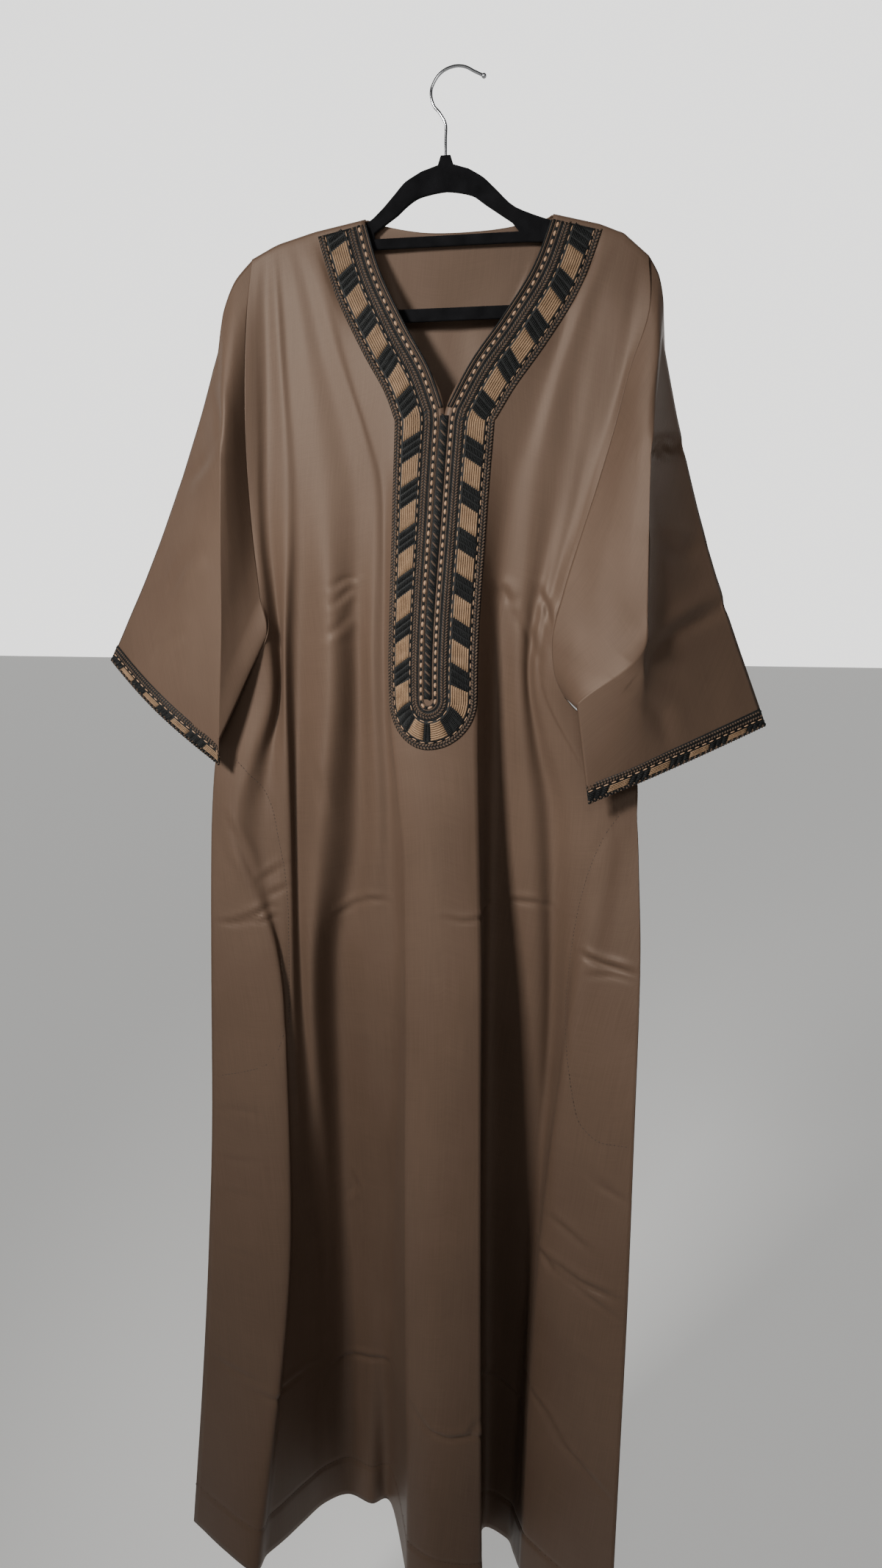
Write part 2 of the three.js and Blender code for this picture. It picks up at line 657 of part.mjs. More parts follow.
// Closed wall between a sheet and its copy moved along the normals.
function wall(sheet, normals, from, to) {
  const faces = faceList(sheet);
  const rim = boundaryEdges(faces);
  const pulled = sheet.points.map((point) => new THREE.Vector3(...point));
  const onRim = new Set(rim.flat());
  const centres = new Map();
  faces.forEach((face) => {
    const corners = face.map((n) => new THREE.Vector3(...sheet.points[n]));
    const centre = corners[0].clone().add(corners[1]).add(corners[2]).divideScalar(3);
    face.filter((n) => onRim.has(n)).forEach((n) => {
      if (!centres.has(n)) centres.set(n, []);
      centres.get(n).push(centre);
    });
  });
  centres.forEach((list, n) => {
    const inward = list.reduce((sum, centre) => {
      const step = centre.clone().sub(new THREE.Vector3(...sheet.points[n])).normalize();
      return sum.add(step);
    }, new THREE.Vector3());
    inward.normalize();
    const lean = inward.dot(normals.get(keyOf(sheet.points[n])));
    const slant = SEAM_HALF_GAP / Math.sqrt(Math.max(LEAST_SLANT, 1 - lean * lean));
    const key = keyOf(sheet.points[n]);
    const pull = UNDERARMS.has(key) ? UNDERARM_PULL : Math.min(MOST_PULL, slant);
    if (key !== SLIT_END) pulled[n].addScaledVector(inward, pull);
  });
  const positions = [];
  [from, to].forEach((offset) => pulled.forEach((point, n) => {
    const normal = normals.get(keyOf(sheet.points[n]));
    const moved = point.clone().addScaledVector(normal, offset);
    positions.push(moved.x, moved.y, moved.z);
  }));
  const count = sheet.points.length;
  const index = [];
  const outerFirst = from > to;
  faces.forEach(([a, b, c]) => {
    index.push(...(outerFirst ? [a, b, c] : [a, c, b]));
    index.push(...(outerFirst ? [a + count, c + count, b + count] : [a + count, b + count, c + count]));
  });
  rim.forEach(([a, b]) => {
    const quad = outerFirst ? [b, a, a + count, b + count] : [a, b, b + count, a + count];
    index.push(quad[0], quad[1], quad[2], quad[0], quad[2], quad[3]);
  });
  const geometry = new THREE.BufferGeometry();
  geometry.setAttribute('position', new THREE.Float32BufferAttribute(positions, 3));
  geometry.setIndex(index);
  return geometry;
}

function toSolid(geometry) {
  const merged = BufferGeometryUtils.mergeVertices(geometry, 1e-4);
  return new wasm.Manifold(new wasm.Mesh({
    numProp: 3,
    vertProperties: new Float32Array(merged.attributes.position.array),
    triVerts: new Uint32Array(merged.index.array),
  }));
}

function fromSolid(solid) {
  const mesh = solid.getMesh();
  const geometry = new THREE.BufferGeometry();
  geometry.setAttribute('position', new THREE.Float32BufferAttribute(mesh.vertProperties, 3));
  geometry.setIndex([...mesh.triVerts]);
  return geometry;
}

// A wall with its neighbours cut away, and only its largest body kept.
function cutBy(geometry, cutters) {
  const cut = cutters.reduce((solid, cutter) => solid.subtract(toSolid(cutter)), toSolid(geometry));
  const bodies = cut.decompose().sort((a, b) => b.volume() - a.volume());
  return fromSolid(bodies[0]);
}

// ---------------------------------------------------------------- trims on the front
// Depth of the front's outer face at a place, on the front-most facet there.
function depthFinder(sheet) {
  const facets = faceList(sheet).map((face) => face.map((n) => sheet.points[n]));
  return (x, z) => {
    let best = Infinity;
    facets.forEach(([a, b, c]) => {
      const area = (b[0] - a[0]) * (c[2] - a[2]) - (c[0] - a[0]) * (b[2] - a[2]);
      if (Math.abs(area) < 1e-6) return;
      const u = ((x - a[0]) * (c[2] - a[2]) - (c[0] - a[0]) * (z - a[2])) / area;
      const v = ((b[0] - a[0]) * (z - a[2]) - (x - a[0]) * (b[2] - a[2])) / area;
      if (u < -1e-6 || v < -1e-6 || u + v > 1 + 1e-6) return;
      best = Math.min(best, a[1] + u * (b[1] - a[1]) + v * (c[1] - a[1]));
    });
    return best;
  };
}

// Place across and height of a point of the band, at an offset from its middle line.
function placketPoint(side, offset, z) {
  const middle = smoothAt(RIDGE_HEIGHTS, RIDGE.middle.x, z);
  const edge = smoothAt(RIDGE_HEIGHTS, RIDGE[side].x, z);
  return [mix(middle, edge, offset / BAND.outerBraid), z];
}
function roundPoint(offset, angle) {
  const side = Math.cos(angle) < 0 ? 'left' : 'right';
  const [x] = placketPoint(side, offset * Math.abs(Math.cos(angle)), PLACKET_ROUND);
  return [x, PLACKET_ROUND - offset * Math.sin(angle)];
}

// The same beside the neckline, straight between the front's own rows there.
function neckPlace(side, offset, row) {
  const at = (whole) => {
    const { point, out } = neckEdge(side, whole / SLIT_ROW);
    return [point[0] + out[0] * offset, point[2] + out[1] * offset];
  };
  const above = Math.min(SLIT_ROW - 1, Math.floor(row));
  return mixPoint(at(above), at(above + 1), row - above);
}

// Stations along the whole band, each giving a point for an offset.
function bandStations() {
  const neck = (side) => range(SLIT_ROW * NECK_STEPS).map((i) => (offset) => {
    const row = Math.max(NECK_START, i / NECK_STEPS);
    return neckPlace(side, offset, row);
  });
  const rows = range((ARM_ROWS - SLIT_ROW) * PLACKET_STEPS).map((i) => SLIT_ROW + (i + 1) / PLACKET_STEPS);
  const placket = (side) => [...rows.map(centreHeight), PLACKET_ROUND].map((z) => (offset) => (
    placketPoint(side, offset, z)));
  const round = range(ROUND_STATIONS - 1).map((i) => (offset) => {
    const angle = Math.PI * (1 - (i + 1) / ROUND_STATIONS);
    return roundPoint(offset, angle);
  });
  return [
    ...neck('left'), ...placket('left'), ...round,
    ...placket('right').reverse(), ...neck('right').reverse(),
  ];
}

// A closed flat strip through stations, between two offsets, lying on the front.
function strip(stations, from, to, depthAt) {
  const positions = [];
  stations.forEach((station) => {
    [[from, 0], [from, 1], [to, 1], [to, 0]].forEach(([offset, top]) => {
      const [x, z] = station(offset);
      positions.push(x, depthAt(x, z) - TRIM_CLEAR - top * TRIM, z);
    });
  });
  const index = [];
  const last = stations.length - 1;
  for (let i = 0; i < last; i += 1) {
    for (let k = 0; k < 4; k += 1) {
      const a = i * 4 + k;
      const b = i * 4 + ((k + 1) % 4);
      index.push(a, b, b + 4, a, b + 4, a + 4);
    }
  }
  index.push(0, 2, 1, 0, 3, 2);
  index.push(last * 4, last * 4 + 1, last * 4 + 2, last * 4, last * 4 + 2, last * 4 + 3);
  return outward(positions, index);
}

// Geometry of a closed list of triangles, turned so that its volume is positive.
function outward(positions, index) {
  let volume = 0;
  for (let i = 0; i < index.length; i += 3) {
    const [a, b, c] = index.slice(i, i + 3).map((n) => (
      new THREE.Vector3(...positions.slice(n * 3, n * 3 + 3))));
    volume += a.dot(b.cross(c));
  }
  const geometry = new THREE.BufferGeometry();
  geometry.setAttribute('position', new THREE.Float32BufferAttribute(positions, 3));
  geometry.setIndex(volume > 0 ? index : [...index].reverse());
  return geometry;
}

// ---------------------------------------------------------------- parts made from a sheet's rows
function cuffSheet(side) {
  const strands = sleeveStrands(side);
  const sheet = surface();
  const numbers = strands.map((strand) => strand.slice(-2).map((point) => addPoint(sheet, point)));
  addGrid(sheet, [...numbers.slice(0, -1), numbers[0]], side === 'left');
  return dropUnused(sheet);
}

function pocketSheet(side) {
  const { row, reach } = POCKET[side];
  const sheet = surface();
  const rows = range(reach.length + 1).map((i) => {
    const points = halfRow(side, row + i, FOLD_STEPS);
    return points.map((point) => addPoint(sheet, point));
  });
  reach.forEach((columns, i) => {
    range(columns).slice(1).forEach((c) => {
      const quad = [rows[i][c], rows[i + 1][c], rows[i + 1][c + 1], rows[i][c + 1]];
      sheet.quads.push(side === 'left' ? quad : quad.reverse());
    });
  });
  return dropUnused(sheet);
}

// ---------------------------------------------------------------- hanger
function hangerFrame(grow) {
  const { armWidth, lowerBar, tieBar, post } = HANGER;
  const outline = [
    ...HANGER.arch, ...HANGER.armLeft, [lowerBar.left, lowerBar.bottom],
    [lowerBar.right, lowerBar.bottom], ...[...HANGER.armRight].reverse(),
    ...[...HANGER.archRight].reverse(),
  ];
  const shape = new THREE.Shape(outline.map(([x, z]) => new THREE.Vector2(x, z)));
  const lower = ([x, z]) => [x, z - armWidth];
  const tieRight = tieBar.right - post;
  const tieLeft = tieBar.left + post;
  // Opening under the arms, down to the lower bar.
  const under = [
    [tieBar.left, tieBar.bottom], ...HANGER.armLeft.slice(0, 2).map(lower),
    ...HANGER.underLeft, ...HANGER.underRight,
    ...HANGER.armRight.slice(0, 2).map(lower).reverse(), [tieBar.right, tieBar.bottom],
  ];
  // Opening inside the arch, above the tie bar.
  const arch = [
    [tieLeft, tieBar.top], [tieLeft, HANGER.archInside[0][1] + HANGER.bevel], ...HANGER.archInside.slice(1),
    ...HANGER.archInsideRight, [tieRight, tieBar.top],
  ];
  [under, arch].forEach((hole) => {
    shape.holes.push(new THREE.Path(hole.map(([x, z]) => new THREE.Vector2(x, z))));
  });
  const geometry = new THREE.ExtrudeGeometry(shape, {
    depth: HANGER.thickness - 2 * HANGER.bevel,
    bevelEnabled: true,
    bevelThickness: HANGER.bevel + grow,
    bevelSize: HANGER.bevel + grow,
    bevelOffset: -HANGER.bevel,
    bevelSegments: 1,
  });
  geometry.rotateX(Math.PI / 2);
  geometry.translate(0, HANGER.thickness / 2 - HANGER.bevel, 0);
  return plain(geometry);
}

function hangerHook() {
  const path = new THREE.CatmullRomCurve3(HOOK.path.map(([x, z]) => new THREE.Vector3(x, 0, z)));
  const section = new THREE.Shape();
  section.absarc(0, 0, HOOK.wire, 0, Math.PI * 2);
  const wire = new THREE.ExtrudeGeometry(section, {
    steps: 44, curveSegments: 8, extrudePath: path, bevelEnabled: false,
  });
  const ball = new THREE.SphereGeometry(HOOK.ball, 10, 8);
  const [tipX, tipZ] = HOOK.path[HOOK.path.length - 1];
  ball.translate(tipX, 0, tipZ);
  return fromSolid(toSolid(plain(wire)).add(toSolid(plain(ball))));
}

function plain(geometry) {
  geometry.deleteAttribute('normal');
  geometry.deleteAttribute('uv');
  return BufferGeometryUtils.mergeVertices(geometry, 1e-4);
}

// ---------------------------------------------------------------- assembly
const thobe = new THREE.Group();
function addMesh(name, geometry, material) {
  const mesh = new THREE.Mesh(geometry, material);
  mesh.name = name;
  thobe.add(mesh);
}

const front = frontSurface();
const back = backSurface();
const sleeveLeft = sleeveSurface('left');
const sleeveRight = sleeveSurface('right');
const bodyNormals = sharedNormals([front, back, sleeveLeft, sleeveRight]);
const clothWall = (sheet) => wall(sheet, bodyNormals, 0, -CLOTH);
const cutter = (sheet) => wall(sheet, bodyNormals, CUT_GAP, -CLOTH - CUT_GAP);
addMesh('front', clothWall(front), FABRIC);
addMesh('back', cutBy(clothWall(back), [cutter(front), hangerFrame(CUT_GAP)]), FABRIC);
addMesh('sleeve_left', cutBy(clothWall(sleeveLeft), [cutter(front), cutter(back)]), FABRIC);
addMesh('sleeve_right', cutBy(clothWall(sleeveRight), [cutter(front), cutter(back)]), FABRIC);

const depthAt = depthFinder(front);
const stations = bandStations();
const bandStrip = (from, to) => strip(stations, from + EDGE, to - EDGE, depthAt);
addMesh('neck_outer_braid', bandStrip(BAND.blocks, BAND.outerBraid - 1), MIXED_THREAD);
addMesh('neck_block_band', bandStrip(BAND.innerBraid, BAND.blocks), TAN_THREAD);
addMesh('neck_inner_braid', bandStrip(BAND.cord, BAND.innerBraid), MIXED_THREAD);
addMesh('neck_beaded_cord', bandStrip(BAND.centre, BAND.cord), PALE_THREAD);
const middleStations = range(CENTRE_BRAID.stations + 1).map((i) => (offset) => {
  const z = mix(CENTRE_BRAID.top, CENTRE_BRAID.bottom, i / CENTRE_BRAID.stations);
  return placketPoint(offset < 0 ? 'left' : 'right', Math.abs(offset), z);
});
const half = BAND.centre - EDGE;
addMesh('placket_centre_braid', strip(middleStations, -half, half, depthAt), DARK_THREAD);
const neckCount = SLIT_ROW * NECK_STEPS;
['left', 'right'].forEach((side) => {
  const own = side === 'left' ? stations.slice(0, neckCount) : stations.slice(-neckCount);
  addMesh(`neck_edge_cord_${side}`, strip(own, EDGE_CORD_START, half, depthAt), DARK_THREAD);
});

['left', 'right'].forEach((side) => {
  const cuff = cuffSheet(side);
  addMesh(`cuff_band_${side}`, wall(cuff, bodyNormals, TRIM_CLEAR + TRIM, TRIM_CLEAR), TAN_THREAD);
  const bag = pocketSheet(side);
  const inside = -CLOTH - BAG_CLEAR;
  addMesh(`pocket_bag_${side}`, wall(bag, bodyNormals, inside, inside - BAG), LINING);
});

addMesh('hanger_frame', hangerFrame(0), VELVET);
addMesh('hanger_hook', hangerHook(), CHROME);

export default thobe;
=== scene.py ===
import bpy
import math
import numpy as np
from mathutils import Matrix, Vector
from mathutils.bvhtree import BVHTree


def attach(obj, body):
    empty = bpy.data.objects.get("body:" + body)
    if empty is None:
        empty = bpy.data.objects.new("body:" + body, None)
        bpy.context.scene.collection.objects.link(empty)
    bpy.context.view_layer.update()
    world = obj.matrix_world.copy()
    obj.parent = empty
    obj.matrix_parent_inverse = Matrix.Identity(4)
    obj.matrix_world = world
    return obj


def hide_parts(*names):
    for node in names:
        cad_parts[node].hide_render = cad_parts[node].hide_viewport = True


# A thobe on a hanger. Tables and functions are in millimetres, meshes in metres.
# +Z is up, +X the viewer's right, and the front faces -Y. The origin is inside the hook's top.
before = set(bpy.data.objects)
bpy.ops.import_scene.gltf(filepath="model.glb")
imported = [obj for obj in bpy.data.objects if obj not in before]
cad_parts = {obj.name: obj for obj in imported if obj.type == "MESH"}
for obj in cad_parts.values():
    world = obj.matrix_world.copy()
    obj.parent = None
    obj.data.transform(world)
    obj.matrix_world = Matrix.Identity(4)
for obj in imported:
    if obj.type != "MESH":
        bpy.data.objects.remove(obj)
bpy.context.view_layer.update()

MM = 0.001
CLOTH = 1.2                 # thickness of the cloth
ARM_ROWS = 8                # rows of the body from shoulder to underarm
SLIT_ROW = 4                # the neck slit ends on this row
SKIRT_ROWS = 16             # rows from underarm to hem
ROWS = ARM_ROWS + SKIRT_ROWS
ROW_STEP = 0.14             # fine rows, as a share of the distance between two rows
CREASE_STEP = 0.045         # the same where creases cross the cloth
CREASED = [(6.2, 8.0), (10.4, 13.2), (16.0, 18.7), (20.2, 21.9), (23.0, 23.4)]
FOLD_STEPS = 8              # fine columns between two fold lines
BAND_COLUMNS = 10           # columns across the neck band
SHOULDER_HALF_GAP = 1.65    # from the shoulder seam's middle to the cloth on either side
ROLL_DROP = 4               # the cloth's roll over the hanger, down and forward or back
ROLL_DEPTH = 6
ROLL_STEPS = 3
NECK_TANGENT = 0.04         # shares of the neckline: either side of a point, for its direction
NEAR_SEAM = 0.22            # where the band turns to follow the shoulder seam
NEAR_SLIT = 0.28            # where it turns to stand across the slit
SLIT_LEAN = -0.22           # slope of the band's direction at the slit

# ---------------------------------------------------------------- tables of the cloth's form
HEIGHTS = [-165, -260, -430, -600, -780, -960, -1250, -1655]
LEFT_FOLDS = {
    "pocket crest": ([-211, -216, -216, -203, -245, -196, -187, -217],
                     [-6, -12, -16, -22, -36, -52, -74, -140]),
    "behind crest": ([-203, -204, -206, -196, -218, -190, -182, -205],
                     [-7, -9, -10, -8, -26, -42, -58, -112]),
    "outer ridge": ([-194, -189, -183, -188, -186, -181, -174, -192],
                    [-8, -12, -16, -20, -28, -38, -44, -84]),
    "thin valley": ([-186, -180, -169, -175, -178, -174, -164, -178],
                    [-8, -11, -14, -9, -17, -27, -30, -50]),
    "left ridge": ([-176, -161, -138, -133, -144, -159, -152, -162],
                   [-9, -13, -18, -27, -34, -32, -14, -16]),
    "left recess": ([-165, -144, -109, -108, -111, -137, -134, -137],
                    [-9, -12, -15, -10, -12, -4, 4, 6]),
    "inner ridge": ([-155, -128, -84, -89, -84, -99, -104, -105],
                    [-10, -14, -18, -22, -26, -18, -8, -2]),
    "inner valley": ([-147, -118, -74, -74, -66, -62, -66, -81],
                     [-10, -13, -17, -22, -28, -34, -32, 4]),
}
RIGHT_FOLDS = {
    "right recess": ([156, 111, 58, 45, 43, 39, 36, 37],
                     [-10, -12, -14, -9, -6, -4, -8, -12]),
    "recess floor": ([163, 123, 85, 72, 87, 93, 84, 68],
                     [-11, -14, -17, -18, -18, -16, -14, -16]),
    "pleat valley": ([170, 138, 107, 82, 110, 113, 99, 80],
                     [-10, -13, -15, -13, -10, -10, -24, -36]),
    "pleat ridge": ([179, 153, 121, 89, 133, 128, 105, 88],
                    [-10, -14, -17, -20, -26, -30, -38, -52]),
    "pocket crest": ([186, 168, 130, 95, 168, 141, 112, 98],
                     [-9, -15, -18, -23, -36, -50, -58, -66]),
    "side panel": ([190, 181, 138, 101, 187, 174, 154, 150],
                   [-6, -16, -21, -28, -36, -58, -82, -108]),
}
RIDGE_HEIGHTS = [-332, -430, -600, -690, -780, -960, -1250, -1655]
RIDGE = {
    "left": ([-61, -64, -66, -60, -49, -42, -39, -35],
             [-18, -21, -36, -42, -48, -66, -90, -106]),
    "middle": ([-8, -14, -22, -19, -9, 0, 7, 13],
               [-20, -27, -43, -50, -57, -78, -104, -125]),
    "right": ([45, 38, 31, 32, 35, 42, 48, 54],
              [-18, -22, -38, -44, -50, -72, -98, -114]),
}
NECKLINE = {
    "left": [(-95, -138), (-80, -186), (-52, -243), (-24, -292), (-9, -332)],
    "right": [(100, -143), (83, -190), (52, -240), (19, -285), (-7, -332)],
}
NECK_DEPTH = [-3, -10, -15, -18, -20]
SLIT_BOTTOM = -332
SIDE = {
    "left": {
        "underarm": -572, "hem": -1642,
        "z": [-171, -246, -348, -442, -500, -572, -605, -645,
              -721, -805, -975, -1108, -1306, -1451, -1642],
        "x": [-219, -225, -227, -223, -217, -208, -240, -262,
              -274, -278, -277, -278, -286, -294, -308],
        "y": [-1, -14, -18, -18, -20, -26, -20, -16,
              -20, -28, -45, -52, -62, -72, -84],
    },
    "right": {
        "underarm": -629, "hem": -1668,
        "z": [-187, -229, -294, -364, -439, -514, -595, -629, -650,
              -685, -730, -810, -927, -1090, -1249, -1463, -1668],
        "x": [196, 200, 182, 165, 143, 120, 107, 124, 166,
              190, 199, 205, 210, 209, 208, 204, 200],
        "y": [-1, -18, -22, -24, -26, -28, -32, -34, -28,
              -24, -30, -42, -62, -85, -105, -132, -144],
    },
}
CENTRE_HEM = -1657
UNDERARM_CENTRE = -595
SHOULDER = {
    "left": [(-95, -138), (-150, -147.5), (-191, -158), (-219, -171)],
    "right": [(100, -143), (147, -155), (171, -165), (196, -187)],
}
SLEEVE = {
    "left": {
        "crease": [(-258, -12, -266), (-246, -44, -380), (-247, -52, -520), (-256, -50, -680)],
        "back crease": [(-258, -12, -266), (-262, 10, -400), (-272, 4, -540), (-264, -32, -690)],
        "cuff outer": (-406, 4, -598), "cuff inner": (-258, -46, -709),
        "front bulge": -16, "back bulge": 18, "round": (-8, 11), "sag": 10,
    },
    "right": {
        "crease": [(212, -16, -268), (205, -58, -400), (207, -74, -560), (138, -62, -632)],
        "back crease": [(212, -16, -268), (226, 8, -420), (236, 2, -560), (160, -44, -660)],
        "cuff outer": (331, 6, -657), "cuff inner": (152, -62, -735),
        "front bulge": -10, "back bulge": 12, "round": (6, 8), "sag": -10,
    },
}
CUFF_BAND = 20              # width of the braided band
ARM_STEPS = 3               # the sleeve's own points from the armhole to the crease line
OUTER_STEPS = 4             # and from there to the band
FRONT_SWELL = -5            # how far the cloth beside the armhole swells, in front and behind
BACK_SWELL = 3
ARM_FINE = 10               # fine points between two of the sleeve's own, beside the body
OUTER_FINE = 16             # and from the crease line to the cuff
BAND_WIDTH = 53             # the neck band, from the neckline's edge outward
PLACKET_ROUND = -632        # centre of the placket's round end
BACK_DEPTH = 17             # of the flat part of the back; each fold adds to it
BACK_FOLDS = [
    {"at": 0.2, "width": 0.07, "yoke": 0.5, "hem": 8},
    {"at": 0.36, "width": 0.06, "yoke": 1, "hem": 12},
    {"at": 0.52, "width": 0.08, "yoke": 1, "hem": 9},
    {"at": 0.69, "width": 0.06, "yoke": 1.5, "hem": 13},
    {"at": 0.83, "width": 0.06, "yoke": 0.5, "hem": 7},
]
BACK_NECK = [(-95, -138), (-54, -150), (3, -154), (60, -151), (100, -143)]
BACK_NECK_PLACES = [0, 0.08, 0.36, 0.64, 0.92, 1]
BEHIND_HANGER = 5.5         # depth of the back neckline
BACK_COLUMNS = 15
BACK_SHOULDER_COLUMNS = 5   # on each shoulder, beside the back of the neck
BACK_ARM_DEPTH = 11         # depth of the back's edge at the top of the armhole
TURN_COLUMNS = 3            # columns in which the back turns forward to its side seam
TURN_WIDTH = 0.13           # and the share of its width that they take

# Creases. Columns: width, depth of the trough, height of the ridge above it, path across and down.
FRONT_CREASES = [
    (4, 1.6, 1.3, [(-133, -884), (-115, -871), (-94, -861), (-74, -859)]),
    (3, 1.2, 1.0, [(0, -864), (20, -868), (36, -866), (53, -857)]),
    (4, 1.4, 1.2, [(53, -857), (93, -856), (110, -862)]),
    (4, 2.6, 2.0, [(-268, -892), (-250, -893), (-231, -885), (-206, -871)]),
    (3, 1.2, 1.0, [(-224, -890), (-198, -882)]),
    (4, 1.2, 1.0, [(-209, -859), (-186, -847)]),
    (4, 1.0, 1.0, [(-218, -842), (-190, -822)]),
    (5, 1.4, 1.2, [(-258, -768), (-240, -800), (-221, -842)]),
    (5, 1.2, 1.0, [(-262, -806), (-245, -835), (-232, -868)]),
    (4, 2.8, 2.2, [(146, -903), (171, -911), (210, -917)]),
    (4, 1.0, 0.8, [(152, -925), (180, -921), (208, -924)]),
    (5, 1.6, 1.4, [(152, -1131), (178, -1151), (208, -1161)]),
    (5, 1.3, 1.2, [(121, -1203), (143, -1213), (165, -1227)]),
    (5, 1.8, 1.5, [(114, -1250), (157, -1265), (208, -1268)]),
    (4, 1.3, 1.1, [(131, -1263), (170, -1279), (206, -1292)]),
    (5, 1.8, 1.6, [(108, -1250), (118, -1258), (126, -1266)]),
    (5, 1.5, 1.3, [(-279, -1423), (-250, -1427), (-222, -1429)]),
    (5, 1.5, 1.3, [(-216, -1442), (-195, -1447), (-172, -1446)]),
    (4, 2.2, 1.6, [(-150, -1462), (-128, -1454), (-102, -1448), (-77, -1444)]),
    (4, 2.2, 1.8, [(-28, -1430), (-8, -1450), (15, -1455), (38, -1451), (48, -1432)]),
    (4, 1.8, 1.4, [(40, -1452), (59, -1455), (76, -1464), (86, -1472)]),
    (5, 1.8, 1.5, [(94, -1420), (120, -1438), (141, -1463), (170, -1478), (204, -1493)]),
    (5, 0.9, 0.8, [(-266, -984), (-240, -980), (-210, -981)]),
    (5, 1.1, 0.9, [(-270, -1117), (-240, -1110), (-217, -1114)]),
    (5, 0.8, 0.8, [(-271, -1169), (-245, -1175), (-219, -1169)]),
    (5, 0.8, 0.7, [(-274, -1219), (-246, -1212), (-224, -1215)]),
    (5, 1.6, 1.4, [(-124, -1210), (-120, -1222), (-128, -1236)]),
    (4, 1.5, 1.2, [(-109, -504), (-120, -506), (-130, -514)]),
    (4, 1.3, 1.2, [(-113, -515), (-121, -524), (-131, -534)]),
    (5, 1.1, 1.0, [(-113, -542), (-124, -556), (-138, -568)]),
    (5, 1.6, 1.4, [(91, -516), (100, -532), (107, -554)]),
    (6, 1.8, 1.2, [(46, -512), (54, -519), (60, -530)]),
    (6, 1.0, 1.0, [(70, -545), (84, -566), (92, -590)]),
    (6, 0.9, 0.8, [(-160, -700), (-148, -726), (-142, -760)]),
    (6, 0.8, 0.7, [(-262, -1290), (-240, -1284), (-222, -1290)]),
    (6, 0.9, 0.8, [(150, -1350), (176, -1360), (200, -1358)]),
]
BACK_CREASES = [
    (5, 1.4, 1.2, [(-200, -870), (-120, -862), (-40, -868)]),
    (5, 1.6, 1.2, [(-10, -862), (70, -858), (150, -866)]),
    (5, 1.6, 1.4, [(-190, -1440), (-110, -1452), (-30, -1446)]),
    (5, 1.5, 1.3, [(0, -1448), (70, -1455), (160, -1442)]),
    (7, 1.2, 1.0, [(-130, -520), (-118, -560), (-124, -610)]),
    (7, 1.2, 1.0, [(60, -540), (74, -580), (70, -640)]),
    (6, 0.9, 0.8, [(-60, -1130), (-20, -1142), (30, -1136)]),
    (6, 0.9, 0.8, [(90, -1230), (130, -1240), (170, -1236)]),
    (4, 2.4, 0.8, [(-92, -150), (-85, -168), (-78, -190), (-68, -218), (-50, -262)]),
    (4, 2.4, 0.8, [(83, -158), (80, -173), (73, -198), (64, -220), (44, -258)]),
]
SLEEVE_CREASES = {
    "left": [
        (9, 1.4, 1.3, [(-262, -372), (-280, -388), (-296, -398)]),
        (10, 1.3, 1.2, [(-276, -470), (-300, -492), (-316, -520)]),
        (8, 1.0, 0.9, [(-300, -560), (-326, -580), (-340, -604)]),
        (7, 1.0, 0.9, [(-262, -300), (-252, -330), (-248, -366)]),
    ],
    "right": [
        (9, 2.0, 1.7, [(204, -384), (220, -378), (238, -372)]),
        (10, 2.4, 2.2, [(200, -596), (214, -576), (240, -556), (290, -529)]),
        (12, 1.3, 1.2, [(214, -470), (236, -478), (256, -474)]),
        (11, 1.3, 1.2, [(196, -620), (222, -640), (232, -676)]),
    ],
}
CREASE_SPREAD = 0.8         # a trough's reach, as a share of its crease's width
TROUGH_DEPTH = 1.4          # how far the cloth sinks for each millimetre in the table
RIDGE_AWAY = 1.9            # the ridge's distance from the trough and its reach, in troughs' reaches
RIDGE_SPREAD = 1.4
HEM_STITCH = 50             # height of the hem's stitching above the edge
SHOULDER_END = 175          # creases start this far below the origin
FREE_RUN = 60               # and have their full height this much lower

# Line of stitches round each pocket bag, across and down.
POCKET_STITCH = {
    "left": [(-250, -702), (-234, -716), (-215, -740), (-204, -763), (-197, -795),
             (-190, -829), (-186, -871), (-185, -922), (-185, -983), (-186, -1007),
             (-194, -1034), (-207, -1052), (-235, -1064), (-270, -1074)],
    "right": [(188, -744), (171, -768), (162, -786), (154, -807), (147, -831),
              (141, -859), (136, -892), (132, -933), (130, -975), (135, -1025),
              (146, -1079), (159, -1096), (175, -1103), (207, -1100)],
}

# Neck band: offsets from the neckline edge or the placket's middle.
TRIM = {
    "bead line": 8.4, "inner braid": 17.2, "inner dashes": 23.2,
    "blocks from": 25.0, "blocks to": 43.4, "outer dashes": 45.4, "outer braid": 49.6,
}
DARK_BLOCK = 22.0           # lengths of the blocks along the band
TAN_BLOCK = 25.0
FOOT_BLOCK = 16.0           # the tan fan beside the wedge at the placket's foot

# How far a block's ends lean for each millimetre across, by distance from the placket's foot.
BLOCK_SLANT = {"along": [0, 25, 70, 330, 400, 640], "lean": [0, 0.12, 0.62, 0.62, 0.42, 0.34]}

